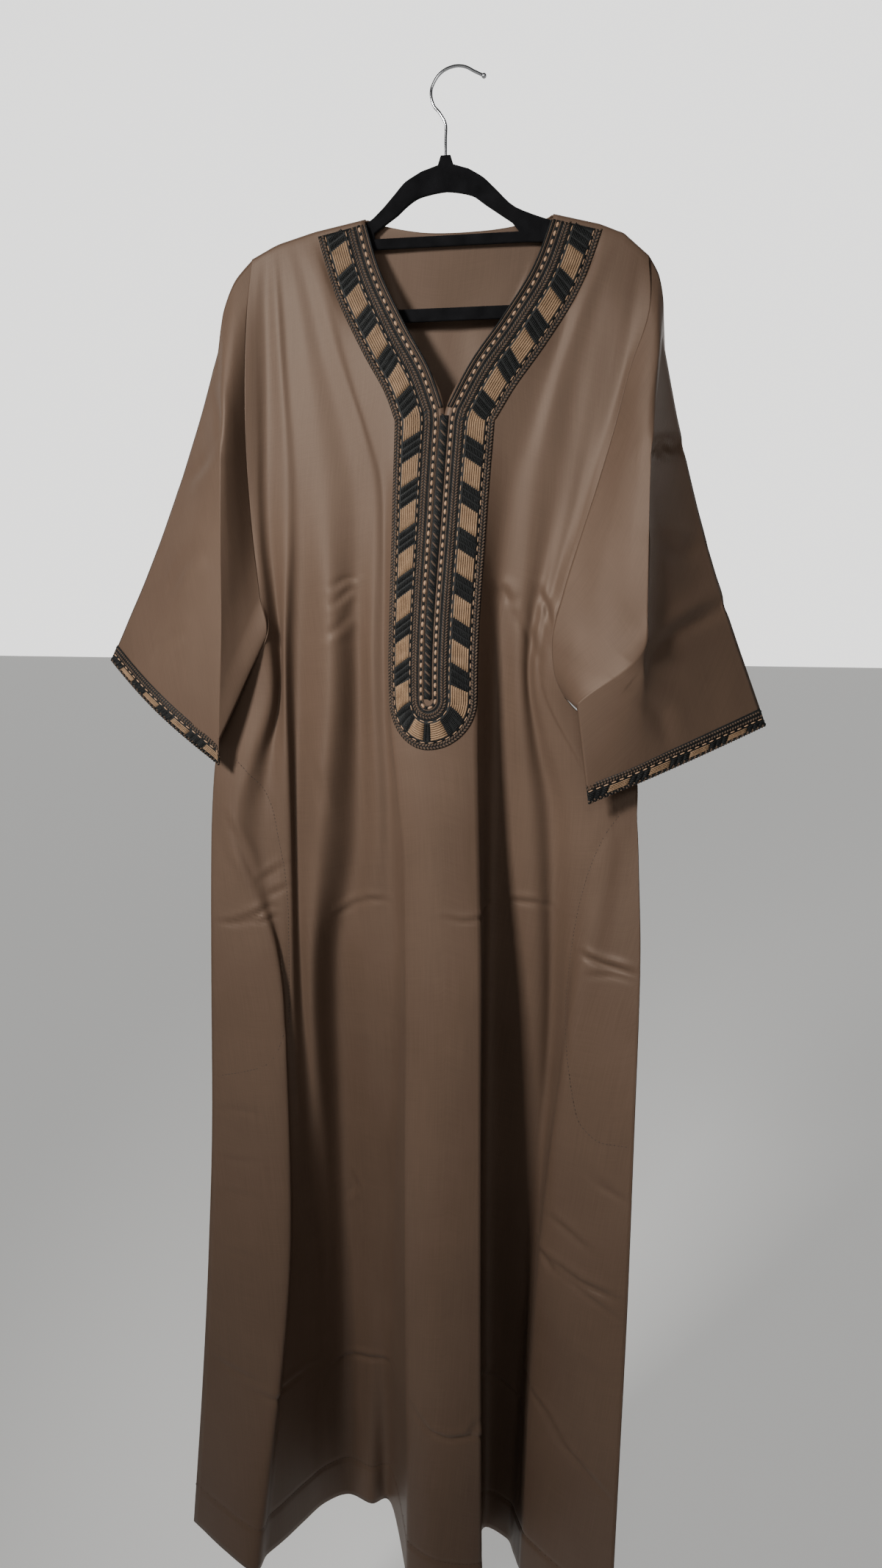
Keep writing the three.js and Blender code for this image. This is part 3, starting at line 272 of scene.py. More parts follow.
# Hanger outline and hook, across and height.
HANGER = {
    "flat": 0.9, "bevel": 1.6,      # half of the flat between the rounded edges, and their radius
    "arch": [(-16, -81), (-19, -90), (-36, -95), (-53, -104), (-64, -115), (-79, -130), (-98, -143)],
    "arch right": [(-6, -81), (-3, -90), (13, -95), (28, -104), (41, -116), (61, -134), (99, -149)],
    "arm left": [(-150, -153), (-191, -163.5), (-205, -172), (-211, -190), (-207, -226)],
    "arm right": [(147, -161.5), (171, -172), (180, -180), (186, -196), (183, -226)],
    "arm width": 12, "bar bottom": -241, "bar left": -196, "bar right": 172,
    "under left": [(-200, -186), (-199, -212), (-190, -228)],
    "under right": [(166, -228), (174, -214), (174, -194)],
    "arch inside": [(-61, -136), (-50, -127), (-37, -120), (-10, -116)],
    "arch inside right": [(16, -121), (31, -131), (58, -149)],
    "tie top": -157.5, "tie bottom": -168, "tie left": -94, "tie right": 73,
    "post": 8, "post top": -152,
}
HOOK_WIRE = 1.6             # radius of the wire and of the ball on its end
HOOK_BALL = 2.7
HOOK_PATH = [(-11, -86), (-11, -66), (-11, -52), (-17, -41), (-23.5, -33), (-26, -20),
             (-20, -7.5), (-11, -0.8), (0, 1.6), (9.5, 0), (18, -4.5), (28, -9.5)]


# ---------------------------------------------------------------- small maths
def mix(a, b, t):
    return a + (b - a) * t


def smooth_at(keys, values, key):
    """Smooth curve through a table's values that never overshoots them."""
    down = keys[-1] < keys[0]
    sign = -1 if down else 1
    keys = [sign * k for k in keys]
    key = min(max(sign * key, keys[0]), keys[-1])
    last = len(keys) - 1
    i = 0
    while i < last - 1 and key > keys[i + 1]:
        i += 1

    def slope(n):
        return (values[n + 1] - values[n]) / (keys[n + 1] - keys[n])

    def tangent(n):
        if n == 0:
            return slope(0)
        if n == last:
            return slope(last - 1)
        before, after = slope(n - 1), slope(n)
        return 0 if before * after <= 0 else 2 * before * after / (before + after)

    width = keys[i + 1] - keys[i]
    t = (key - keys[i]) / width
    return ((2 * t**3 - 3 * t**2 + 1) * values[i] + (t**3 - 2 * t**2 + t) * width * tangent(i)
            + (3 * t**2 - 2 * t**3) * values[i + 1] + (t**3 - t**2) * width * tangent(i + 1))


def curve_at(knots, fraction):
    keys = list(range(len(knots)))
    return [smooth_at(keys, list(axis), fraction * (len(knots) - 1)) for axis in zip(*knots)]


def shoulder_height(line, x):
    for i in range(len(line) - 1):
        (x0, z0), (x1, z1) = line[i], line[i + 1]
        t = (x - x0) / (x1 - x0)
        if t <= 1 or i == len(line) - 2:
            return mix(z0, z1, min(1, max(0, t)))
    return line[0][1]


def hermite(start, leaving, end, arriving, t):
    """Point on the cubic between two points that has these directions at its ends."""
    return ((2 * t**3 - 3 * t**2 + 1) * start + (t**3 - 2 * t**2 + t) * leaving
            + (3 * t**2 - 2 * t**3) * end + (t**3 - t**2) * arriving)


def spline(points, steps, tension=0.5):
    """Catmull-Rom curve along the first axis of an array of points."""
    points = np.asarray(points, float)
    last = len(points) - 1
    rows = []
    for i in range(last):
        start, end = points[i], points[i + 1]
        leaving = (end - points[max(i - 1, 0)]) * tension
        arriving = (points[min(i + 2, last)] - start) * tension
        rows += [hermite(start, leaving, end, arriving, s / steps) for s in range(steps)]
    rows.append(points[-1])
    return np.array(rows)


def spline_at(points, places):
    """Catmull-Rom curve along the first axis of an array of points, at chosen places."""
    points = np.asarray(points, float)
    rows = []
    for place in places:
        i = min(int(place), len(points) - 2)
        start, end = points[i], points[i + 1]
        leaving = (end - points[max(i - 1, 0)]) / 2
        arriving = (points[min(i + 2, len(points) - 1)] - start) / 2
        rows.append(hermite(start, leaving, end, arriving, place - i))
    return np.array(rows)


def lengths_along(points):
    """Distance of each point from the first, along the line through them."""
    return np.concatenate([[0], np.cumsum(np.linalg.norm(np.diff(points, axis=0), axis=1))])


def row_places():
    """Places of the fine rows: closer together where creases cross the cloth."""
    stops = sorted({0, SLIT_ROW + 1, ARM_ROWS, ROWS}.union(*CREASED))
    places = []
    for start, end in zip(stops, stops[1:]):
        creased = any(a <= start and end <= b for a, b in CREASED)
        count = round((end - start) / (CREASE_STEP if creased else ROW_STEP))
        places += [start + (end - start) * i / count for i in range(count)]
    return places + [ROWS]


PLACES = row_places()


# ---------------------------------------------------------------- rows of the body
def side_point(side, row):
    line = SIDE[side]
    if row <= ARM_ROWS:
        z = mix(line["z"][0], line["underarm"], row / ARM_ROWS)
    else:
        z = mix(line["underarm"], line["hem"], (row - ARM_ROWS) / SKIRT_ROWS)
    return [smooth_at(line["z"], line["x"], z), smooth_at(line["z"], line["y"], z), z]


def centre_height(row):
    if row <= ARM_ROWS:
        return mix(SLIT_BOTTOM, UNDERARM_CENTRE, (row - SLIT_ROW) / (ARM_ROWS - SLIT_ROW))
    return mix(UNDERARM_CENTRE, CENTRE_HEM, (row - ARM_ROWS) / SKIRT_ROWS)


def neck_edge(side, fraction):
    """Point on the neckline and the direction away from the opening there."""
    knots = [(x, depth, z) for (x, z), depth in zip(NECKLINE[side], NECK_DEPTH)]
    point = curve_at(knots, fraction)
    before = curve_at(knots, max(0, fraction - NECK_TANGENT))
    after = curve_at(knots, min(1, fraction + NECK_TANGENT))
    sign = 1 if side == "left" else -1
    out = np.array([sign * (after[2] - before[2]), -sign * (after[0] - before[0])])
    out /= np.linalg.norm(out)
    line = SHOULDER[side]
    seam = np.array(line[1], float) - np.array(line[0], float)
    seam /= np.linalg.norm(seam)
    out = mix(out, seam, min(1, max(0, 1 - fraction / NEAR_SEAM)))
    near = min(1, max(0, (fraction - (1 - NEAR_SLIT)) / NEAR_SLIT))
    out = mix(out, np.array([-sign, SLIT_LEAN]), near)
    return point, out / np.linalg.norm(out)


def band_points(side, row):
    offsets = np.linspace(BAND_WIDTH, 0, BAND_COLUMNS + 1)
    if row <= SLIT_ROW:
        point, out = neck_edge(side, row / SLIT_ROW)
        return [[point[0] + out[0] * o, -SHOULDER_HALF_GAP if row == 0 else point[1] + o / BAND_WIDTH,
                 point[2] + out[1] * o] for o in offsets]
    z = centre_height(row)
    edge = [smooth_at(RIDGE_HEIGHTS, RIDGE[side][k], z) for k in (0, 1)]
    middle = [smooth_at(RIDGE_HEIGHTS, RIDGE["middle"][k], z) for k in (0, 1)]
    return [[mix(middle[0], edge[0], o / BAND_WIDTH), mix(middle[1], edge[1], (o / BAND_WIDTH) ** 2), z]
            for o in offsets]


def half_row(side, row):
    folds = list(LEFT_FOLDS.values()) if side == "left" else list(RIGHT_FOLDS.values())[::-1]
    band = band_points(side, row)
    edge = side_point(side, row)
    outer = band[0]
    line = [edge]
    for i, (across, depth) in enumerate(folds):
        z = mix(edge[2], outer[2], (i + 1) / (len(folds) + 1))
        line.append([smooth_at(HEIGHTS, across, z), smooth_at(HEIGHTS, depth, z), z])
    line.append(outer)
    if row == 0:
        for i, point in enumerate(line):
            point[0] = mix(edge[0], outer[0], i / (len(line) - 1))
            point[1] = -SHOULDER_HALF_GAP
            point[2] = shoulder_height(SHOULDER[side], point[0])
    return np.vstack([spline(line, FOLD_STEPS), np.array(band)[1:]])


def with_roll(rows, sign):
    """All fine rows, with the cloth rolled over the hanger between the first two."""
    top = rows[0]
    roll = top.copy()
    roll[:, 1] = sign * ROLL_DEPTH
    roll[:, 2] -= ROLL_DROP
    over = []
    for i in range(ROLL_STEPS):
        angle = math.pi / 2 * i / ROLL_STEPS
        row = top.copy()
        row[:, 1] = mix(top[:, 1], roll[:, 1], math.sin(angle))
        row[:, 2] = mix(top[:, 2], roll[:, 2], 1 - math.cos(angle))
        over.append(row)
    return np.vstack([np.array(over), spline_at([roll] + rows[1:], PLACES)])


def back_depth(across, down):
    depth = BACK_DEPTH
    for fold in BACK_FOLDS:
        away = (across - fold["at"]) / fold["width"]
        depth += mix(fold["yoke"], fold["hem"], down) * math.exp(-away ** 2)
    return depth


def back_side(side, row):
    point = side_point(side, row)
    if row == 0:
        return [point[0], SHOULDER_HALF_GAP, point[2]]
    if row < ARM_ROWS:
        return [point[0], mix(BACK_ARM_DEPTH, point[1], (row / ARM_ROWS) ** 3), point[2]]
    return point


def back_top_row():
    """The back's edge along both shoulders and the neck, from left to right."""
    halves = {}
    for side in ("left", "right"):
        line = SHOULDER[side]
        halves[side] = []
        for i in range(BACK_SHOULDER_COLUMNS):
            x = mix(line[-1][0], line[0][0], i / BACK_SHOULDER_COLUMNS)
            halves[side].append([x, SHOULDER_HALF_GAP, shoulder_height(line, x)])
    middle = []
    for i, place in enumerate(BACK_NECK_PLACES):
        x, z = curve_at(BACK_NECK, place)
        at_seam = i in (0, len(BACK_NECK_PLACES) - 1)
        middle.append([x, SHOULDER_HALF_GAP if at_seam else BEHIND_HANGER, z])
    return halves["left"] + middle + halves["right"][::-1]


def back_row(row):
    if row == 0:
        return back_top_row()
    left, right = back_side("left", row), back_side("right", row)
    down = row / ROWS
    points = []
    for column in range(BACK_COLUMNS + 1):
        if TURN_COLUMNS <= column <= BACK_COLUMNS - TURN_COLUMNS:
            t = (column - TURN_COLUMNS) / (BACK_COLUMNS - 2 * TURN_COLUMNS)
            across = mix(TURN_WIDTH, 1 - TURN_WIDTH, t)
            points.append([mix(left[0], right[0], across), back_depth(across, down),
                           mix(left[2], right[2], across)])
            continue
        is_left = column < TURN_COLUMNS
        edge, far = (left, right) if is_left else (right, left)
        turn = (column if is_left else BACK_COLUMNS - column) / TURN_COLUMNS
        angle = turn * math.pi / 2
        across = TURN_WIDTH * (1 - math.cos(angle))
        depth = back_depth(TURN_WIDTH if is_left else 1 - TURN_WIDTH, down)
        points.append([mix(edge[0], far[0], across), mix(edge[1], depth, math.sin(angle)),
                       mix(edge[2], far[2], across)])
    return points


# ---------------------------------------------------------------- creases and unevenness
def path_distance(path, x, z):
    """Signed distance from a path, positive above it, and how far inside the path's ends."""
    best = np.full(x.shape, 1e9)
    signed = np.full(x.shape, 1e9)
    reach = np.zeros(x.shape)
    lengths = [math.dist(a, b) for a, b in zip(path, path[1:])]
    total = sum(lengths)
    before = 0.0
    for (x0, z0), (x1, z1), length in zip(path, path[1:], lengths):
        ux, uz = (x1 - x0) / length, (z1 - z0) / length
        along = np.clip((x - x0) * ux + (z - z0) * uz, 0, length)
        dx, dz = x - x0 - along * ux, z - z0 - along * uz
        far = np.hypot(dx, dz)
        nearer = far < best
        best = np.where(nearer, far, best)
        signed = np.where(nearer, far * np.where(ux * dz - uz * dx < 0, -1, 1), signed)
        reach = np.where(nearer, (before + along) / total, reach)
        before += length
    return signed, reach


def crease_height(creases, points):
    """Each crease is a soft trough with a low ridge above it, fading out at its ends."""
    x, z = points[:, 0], points[:, 2]
    height = np.zeros(len(points))
    for wide, deep, high, path in creases:
        signed, reach = path_distance(path, x, z)
        width = wide * CREASE_SPREAD
        taper = np.sin(np.pi * np.clip(reach, 0.02, 0.98)) ** 0.5
        trough = -TROUGH_DEPTH * deep * np.exp(-(signed / width) ** 2)
        ridge = high * np.exp(-((signed - RIDGE_AWAY * width) / (RIDGE_SPREAD * width)) ** 2)
        height += (trough + ridge) * taper
    return height


def unevenness(points, phase):
    """Slow and fine waves, so that no stretch of cloth is quite flat."""
    x, y, z = points.T
    slow = np.sin(x / 31 + phase) * np.sin(z / 143 + 1.7 * phase + np.sin(x / 57))
    fine = np.sin(x / 12.5 + 2 * phase + np.sin(z / 90)) * np.sin(z / 61 + phase)
    return 0.55 * slow + 0.22 * fine + 0.12 * np.sin(x / 6.3 + z / 37 + phase)


def hem_height(points, hem_z):
    """The turned-up hem: a little thicker below its stitching, which lies in a groove."""
    above = points[:, 2] - hem_z
    groove = -0.9 * np.exp(-((above - HEM_STITCH) / 2.6) ** 2)
    pucker = 0.16 * np.sin(points[:, 0] / 3.1) * np.exp(-((above - HEM_STITCH) / 9) ** 2)
    return groove + pucker + np.where(above < HEM_STITCH - 2, 0.35, 0.0)


# ---------------------------------------------------------------- meshes
def vertex_normals(points, quads):
    normals = np.zeros_like(points)
    corners = points[quads]
    face = np.cross(corners[:, 2] - corners[:, 0], corners[:, 3] - corners[:, 1])
    for k in range(4):
        np.add.at(normals, quads[:, k], face)
    length = np.linalg.norm(normals, axis=1, keepdims=True)
    return normals / np.maximum(length, 1e-9)


def rim_edges(quads):
    edges = np.vstack([quads[:, [k, (k + 1) % 4]] for k in range(4)])
    ordered = np.sort(edges, axis=1)
    _, first, count = np.unique(ordered, axis=0, return_index=True, return_counts=True)
    alone = edges[first[count == 1]]
    return alone[alone[:, 0] != alone[:, 1]]


def make_mesh(name, points, faces, materials, material_of=None, uv=None):
    mesh = bpy.data.meshes.new(name)
    mesh.from_pydata((np.asarray(points) * MM).tolist(), [], [list(map(int, f)) for f in faces])
    for material in materials:
        mesh.materials.append(material)
    if material_of is not None:
        mesh.polygons.foreach_set("material_index", np.asarray(material_of, dtype=np.int32))
    if uv is not None:
        layer = mesh.uv_layers.new(name="cloth")
        corner = np.zeros(len(mesh.loops), dtype=np.int32)
        mesh.loops.foreach_get("vertex_index", corner)
        layer.data.foreach_set("uv", (np.asarray(uv)[corner] * MM).ravel())
    mesh.polygons.foreach_set("use_smooth", np.full(len(mesh.polygons), True))
    mesh.update()
    thing = bpy.data.objects.new(name, mesh)
    bpy.context.collection.objects.link(thing)
    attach(thing, "root")
    return thing


def make_shell(name, points, quads, uv, materials, thickness=CLOTH):
    """A closed thin shell under a sheet of quads, whose edge is a strip of its own."""
    quads = np.array([q for q in quads if len(set(q)) >= 3])
    normals = vertex_normals(points, quads)
    inner = points - normals * thickness
    rim = rim_edges(quads)
    count = len(points)
    every = [list(dict.fromkeys(q)) for q in quads.tolist()]
    faces = list(every)
    faces += [[n + count for n in reversed(q)] for q in every]
    faces += [[b, a, a + count, b + count] for a, b in rim.tolist()]
    return make_mesh(name, np.vstack([points, inner]), faces, materials, uv=np.vstack([uv, uv]))


def grid_quads(numbers, flip=False):
    numbers = np.asarray(numbers)
    a, b = numbers[:-1, :-1].ravel(), numbers[1:, :-1].ravel()
    c, d = numbers[1:, 1:].ravel(), numbers[:-1, 1:].ravel()
    return np.stack([d, c, b, a] if flip else [a, b, c, d], axis=1)


def run_along(grid, axis):
    """Distance of each point from the first of its row or column."""
    run = np.cumsum(np.linalg.norm(np.diff(grid, axis=axis), axis=2), axis=axis)
    return np.concatenate([np.zeros_like(run.take([0], axis)), run], axis=axis)


def weave_coordinates(grid):
    """Distance along the rows and down the columns, for the weave."""
    across = run_along(grid, 1)
    across -= across.mean(axis=1, keepdims=True)
    return np.stack([across, run_along(grid, 0)], axis=2)


# ---------------------------------------------------------------- materials
def new_material(name):
    material = bpy.data.materials.new(name)
    material.use_nodes = True
    tree = material.node_tree
    shader = tree.nodes["Principled BSDF"]
    return material, tree, shader


def set_values(node, values):
    for key, value in values.items():
        node.inputs[key].default_value = value


def add_node(tree, kind, values, **settings):
    node = tree.nodes.new(kind)
    for key, value in settings.items():
        setattr(node, key, value)
    set_values(node, values)
    return node


def object_place(tree):
    return tree.nodes.new("ShaderNodeTexCoord").outputs["Object"]


def scaled(tree, place, scale, turn=0.0):
    mapping = add_node(tree, "ShaderNodeMapping", {"Scale": scale, "Rotation": (0, 0, turn)})
    tree.links.new(place, mapping.inputs["Vector"])
    return mapping.outputs["Vector"]


def add_noise(tree, place, scale, detail, roughness=0.5):
    values = {"Scale": scale, "Detail": detail, "Roughness": roughness}
    noise = add_node(tree, "ShaderNodeTexNoise", values)
    tree.links.new(place, noise.inputs["Vector"])
    return noise.outputs["Fac"]


def add_wave(tree, place, direction, scale, distortion, detail):
    values = {"Scale": scale, "Distortion": distortion, "Detail": detail}
    wave = add_node(tree, "ShaderNodeTexWave", values, wave_type="BANDS", bands_direction=direction)
    tree.links.new(place, wave.inputs["Vector"])
    return wave.outputs["Fac"]


def add_mix(tree, first, second, share):
    node = add_node(tree, "ShaderNodeMix", {0: share}, data_type="FLOAT")
    tree.links.new(first, node.inputs[2])
    tree.links.new(second, node.inputs[3])
    return node.outputs[0]


def colour_by(tree, shader, source, low, dark, high, light):
    """Base colour that goes from dark at one value of the source to light at another."""
    ramp = tree.nodes.new("ShaderNodeValToRGB")
    for element, position, colour in zip(ramp.color_ramp.elements, (low, high), (dark, light)):
        element.position = position
        element.color = (*colour, 1)
    tree.links.new(source, ramp.inputs["Fac"])
    tree.links.new(ramp.outputs["Color"], shader.inputs["Base Color"])


def roughness_by(tree, shader, source, low, high):
    wear = add_node(tree, "ShaderNodeMapRange", {"To Min": low, "To Max": high})
    tree.links.new(source, wear.inputs["Value"])
    tree.links.new(wear.outputs["Result"], shader.inputs["Roughness"])


def add_bump(tree, shader, source, strength, distance, after=None):
    bump = add_node(tree, "ShaderNodeBump", {"Strength": strength, "Distance": distance})
    tree.links.new(source, bump.inputs["Height"])
    if after is not None:
        tree.links.new(after.outputs["Normal"], bump.inputs["Normal"])
    tree.links.new(bump.outputs["Normal"], shader.inputs["Normal"])
    return bump


def cloth_material(name, dark, light, roughness, sheen):
    """Satin twill: long faint streaks along the warp, a fine diagonal rib and a little fuzz."""
    material, tree, shader = new_material(name)
    weave = add_node(tree, "ShaderNodeUVMap", {}, uv_map="cloth").outputs["UV"]
    warp = add_noise(tree, scaled(tree, weave, (900, 14, 1)), 1.0, 3.0, 0.6)
    weft = add_noise(tree, scaled(tree, weave, (20, 1300, 1)), 1.0, 2.0)
    broad = add_noise(tree, object_place(tree), 6.0, 4.0, 0.55)
    threads = add_mix(tree, warp, weft, 0.4)
    colour_by(tree, shader, add_mix(tree, threads, broad, 0.45), 0.3, dark, 0.7, light)
    roughness_by(tree, shader, broad, roughness - 0.05, roughness + 0.06)
    twill = add_wave(tree, scaled(tree, weave, (420, 420, 1), 0.9), "X", 1.0, 0.4, 1.0)
    ribbed = add_bump(tree, shader, twill, 0.12, 0.0003)
    add_bump(tree, shader, threads, 0.16, 0.0004, ribbed)
    set_values(shader, {"Sheen Weight": sheen, "Sheen Roughness": 0.45, "Sheen Tint": (0.75, 0.66, 0.58, 1),
                        "Specular IOR Level": 0.22, "Specular Tint": (1.0, 0.84, 0.72, 1)})
    return material


def thread_material(name, dark, light, roughness):
    """Twisted sewing thread, with a fine spiral and small differences from strand to strand."""
    material, tree, shader = new_material(name)
    place = object_place(tree)
    strands = add_noise(tree, place, 900.0, 3.0, 0.65)
    patches = add_noise(tree, place, 90.0, 2.0)
    colour_by(tree, shader, add_mix(tree, strands, patches, 0.4), 0.33, dark, 0.67, light)
    spiral = add_wave(tree, place, "DIAGONAL", 520.0, 2.0, 2.0)
    add_bump(tree, shader, spiral, 0.35, 0.0003)
    set_values(shader, {"Roughness": roughness, "Sheen Weight": 0.03, "Specular IOR Level": 0.14})
    return material


def velvet_material():
    """Short dense black pile, with faint patches where it lies another way."""
    material, tree, shader = new_material("flocked black")
    place = object_place(tree)
    patches = add_noise(tree, place, 60.0, 3.0)
    colour_by(tree, shader, patches, 0.3, (0.003, 0.003, 0.0035), 0.75, (0.007, 0.007, 0.008))
    add_bump(tree, shader, add_noise(tree, place, 1500.0, 2.0), 0.5, 0.0006)
    set_values(shader, {"Roughness": 0.95, "Sheen Weight": 0.03, "Sheen Roughness": 0.5,
                        "Specular IOR Level": 0.1})
    return material


def chrome_material():
    """Polished wire with faint wipe marks."""
    material, tree, shader = new_material("chrome wire")
    roughness_by(tree, shader, add_noise(tree, object_place(tree), 220.0, 3.0), 0.08, 0.2)
    set_values(shader, {"Base Color": (0.5, 0.51, 0.53, 1), "Metallic": 1.0})
    return material


CLOTH_BROWN = cloth_material("brown satin twill", (0.069, 0.0435, 0.030), (0.101, 0.065, 0.0455),
                             0.47, 0.03)
POCKET_BROWN = cloth_material("pocket lining", (0.10, 0.07, 0.052), (0.14, 0.10, 0.075), 0.7, 0.05)
TAN = thread_material("tan thread", (0.140, 0.086, 0.048), (0.30, 0.192, 0.113), 0.62)
BLACK = thread_material("charcoal thread", (0.003, 0.0033, 0.0034), (0.012, 0.013, 0.013), 0.5)
BROWN = thread_material("brown braid thread", (0.050, 0.033, 0.023), (0.112, 0.075, 0.052), 0.62)
PALE = thread_material("pale thread", (0.25, 0.15, 0.088), (0.44, 0.28, 0.175), 0.55)
STITCH = thread_material("stitching", (0.045, 0.032, 0.025), (0.075, 0.055, 0.042), 0.6)
VELVET = velvet_material()
CHROME = chrome_material()


# ---------------------------------------------------------------- front panel
BAND_MIDDLE = -14           # the stiff stretch under the placket and its band: middle, half width,
BAND_HALF = 50              # how softly it ends, its foot and the share of each crease it takes away
BAND_FADE = 12
BAND_FOOT = -700
BAND_STIFF = 0.85
SEAM_COLUMNS = 5            # creases fade out over these columns at each side seam
BACK_SEAM_COLUMNS = 10


def front_sheet():
    """The front's points, faces, weave coordinates and each point's columns from its side seam."""
    left = with_roll([half_row("left", r) for r in range(ROWS + 1)], -1)
    right = with_roll([half_row("right", r)[::-1] for r in range(ROWS + 1)], -1)
    joined = ROLL_STEPS + PLACES.index(SLIT_ROW + 1)
    left_count = left.shape[0] * left.shape[1]
    left_numbers = np.arange(left_count).reshape(left.shape[:2])
    right_order = np.arange(right.shape[0] * right.shape[1])
    right_numbers = left_count + right_order.reshape(right.shape[:2])
    right_numbers[joined:, 0] = left_numbers[joined:, -1]
    points = np.vstack([left.reshape(-1, 3), right.reshape(-1, 3)])
    quads = np.vstack([grid_quads(left_numbers), grid_quads(right_numbers)])
    whole = weave_coordinates(np.concatenate([left, right], axis=1))
    columns = left.shape[1]
    uv = np.vstack([whole[:, :columns].reshape(-1, 2), whole[:, columns:].reshape(-1, 2)])
    from_side = np.concatenate([left_numbers.ravel() % columns,
                                right.shape[1] - 1 - right_order % right.shape[1]])
    used, inverse = np.unique(quads, return_inverse=True)
    return points[used], inverse.reshape(quads.shape), uv[used], from_side[used]


def hem_line(points):
    """Height of the hem under each point of the body."""
    x = points[:, 0]
    left, right = SIDE["left"], SIDE["right"]
    places = [left["x"][-1], RIDGE["middle"][0][-1], right["x"][-1]]
    return np.interp(x, places, [left["hem"], CENTRE_HEM, right["hem"]])


def hanging_free(points):
    """0 on the shoulders, rising to 1 where the cloth hangs free and creases have full height."""
    return np.clip((-points[:, 2] - SHOULDER_END) / FREE_RUN, 0, 1)


front_points, front_quads, front_uv, front_from_side = front_sheet()
normals = vertex_normals(front_points, front_quads)
lift = crease_height(FRONT_CREASES, front_points) + unevenness(front_points, 0.4)
for path in POCKET_STITCH.values():
    from_stitching, _ = path_distance(path, front_points[:, 0], front_points[:, 2])
    lift -= 0.9 * np.exp(-(from_stitching / 2.4) ** 2)
lift += hem_height(front_points, hem_line(front_points))
beside_band = np.maximum(0, np.abs(front_points[:, 0] - BAND_MIDDLE) - BAND_HALF)
in_band = np.exp(-beside_band / BAND_FADE) * (front_points[:, 2] > BAND_FOOT)
seam = np.clip(front_from_side / SEAM_COLUMNS, 0, 1)
lift = lift * hanging_free(front_points) * seam * (1 - BAND_STIFF * in_band)
front_points = front_points + normals * lift[:, None]
front = make_shell("front_cloth", front_points, front_quads, front_uv, [CLOTH_BROWN])
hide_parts("front")
front_tree = BVHTree.FromPolygons(front_points.tolist(), front_quads.tolist())


def on_front(x, z):
    """Place and facing of the front's outer face, seen from straight ahead."""
    hit, normal, _, _ = front_tree.ray_cast(Vector((x, -900, z)), Vector((0, 1, 0)))
    if hit is None:
        hit, normal, _, _ = front_tree.find_nearest(Vector((x, -20, z)))
    if normal.y > 0:
        normal = -normal
    return np.array(hit), np.array(normal)


# ---------------------------------------------------------------- back panel
back_rows = [spline(back_row(r), 8) for r in range(ROWS + 1)]
back_grid = with_roll(back_rows, 1)
back_points = back_grid.reshape(-1, 3)
back_numbers = np.arange(len(back_points)).reshape(back_grid.shape[:2])
back_quads = grid_quads(back_numbers, flip=True)
normals = vertex_normals(back_points, back_quads)
lift = crease_height(BACK_CREASES, back_points) + 1.4 * unevenness(back_points, 2.1)
lift += hem_height(back_points, hem_line(back_points))
column = back_numbers.ravel() % back_grid.shape[1]
turned = np.minimum(1, np.minimum(column, back_grid.shape[1] - 1 - column) / BACK_SEAM_COLUMNS)
back_points = back_points + normals * (lift * hanging_free(back_points) * turned)[:, None]
back_uv = weave_coordinates(back_grid).reshape(-1, 2)
back = make_shell("back_cloth", back_points, back_quads, back_uv, [CLOTH_BROWN])
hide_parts("back")


# ---------------------------------------------------------------- sleeves
def sleeve_strand(side, arm_point, fraction, is_back):
    sleeve = SLEEVE[side]
    crease = np.array(curve_at(sleeve["back crease" if is_back else "crease"], fraction))
    cuff = mix(np.array(sleeve["cuff outer"], float), np.array(sleeve["cuff inner"], float), fraction)
    cuff[1] += sleeve["back bulge" if is_back else "front bulge"] * math.sin(math.pi * fraction)
    strand = []
    for i in range(ARM_STEPS):
        t = i / ARM_STEPS
        point = mix(np.array(arm_point, float), crease, t)
        swell = math.sin(math.pi * t)
        point[0] += sleeve["round"][0] * (1 - fraction) ** 3 * swell
        point[2] += sleeve["round"][1] * (1 - fraction) ** 3 * swell
        point[1] += (BACK_SWELL if is_back else FRONT_SWELL) * swell * math.sin(math.pi * fraction)
        strand.append(point)
    run = np.linalg.norm(cuff - crease)
    band = min(CUFF_BAND, run * 0.5) / run
    for i in range(OUTER_STEPS + 1):
        t = i / OUTER_STEPS * (1 - band)
        point = mix(crease, cuff, t)
        point[0] += sleeve["sag"] * math.sin(math.pi * t) * (1 - fraction)
        strand.append(point)
    strand.append(cuff)
    return strand


def sleeve_grid(side):
    """Fine strands round the sleeve, from the armhole to the cuff."""
    edge = [side_point(side, row) for row in range(ROWS + 1)]
    edge[0][1] = -SHOULDER_HALF_GAP
    arm_places = PLACES[:PLACES.index(ARM_ROWS) + 1]
    front_edge = spline_at(edge, arm_places)
    back_edge = spline_at([back_side(side, row) for row in range(ROWS + 1)], arm_places)
    strands = [sleeve_strand(side, p, k / ARM_ROWS, False) for p, k in zip(front_edge, arm_places)]
    returning = list(zip(back_edge, arm_places))[-2::-1]
    strands += [sleeve_strand(side, p, k / ARM_ROWS, True) for p, k in returning]
    fine = np.array(strands)
    arm = spline(fine[:, :ARM_STEPS + 1].transpose(1, 0, 2), ARM_FINE, 0.42)
    outer = spline(fine[:, ARM_STEPS:].transpose(1, 0, 2), OUTER_FINE, 0.42)
    return np.concatenate([arm, outer[1:]], axis=0).transpose(1, 0, 2)


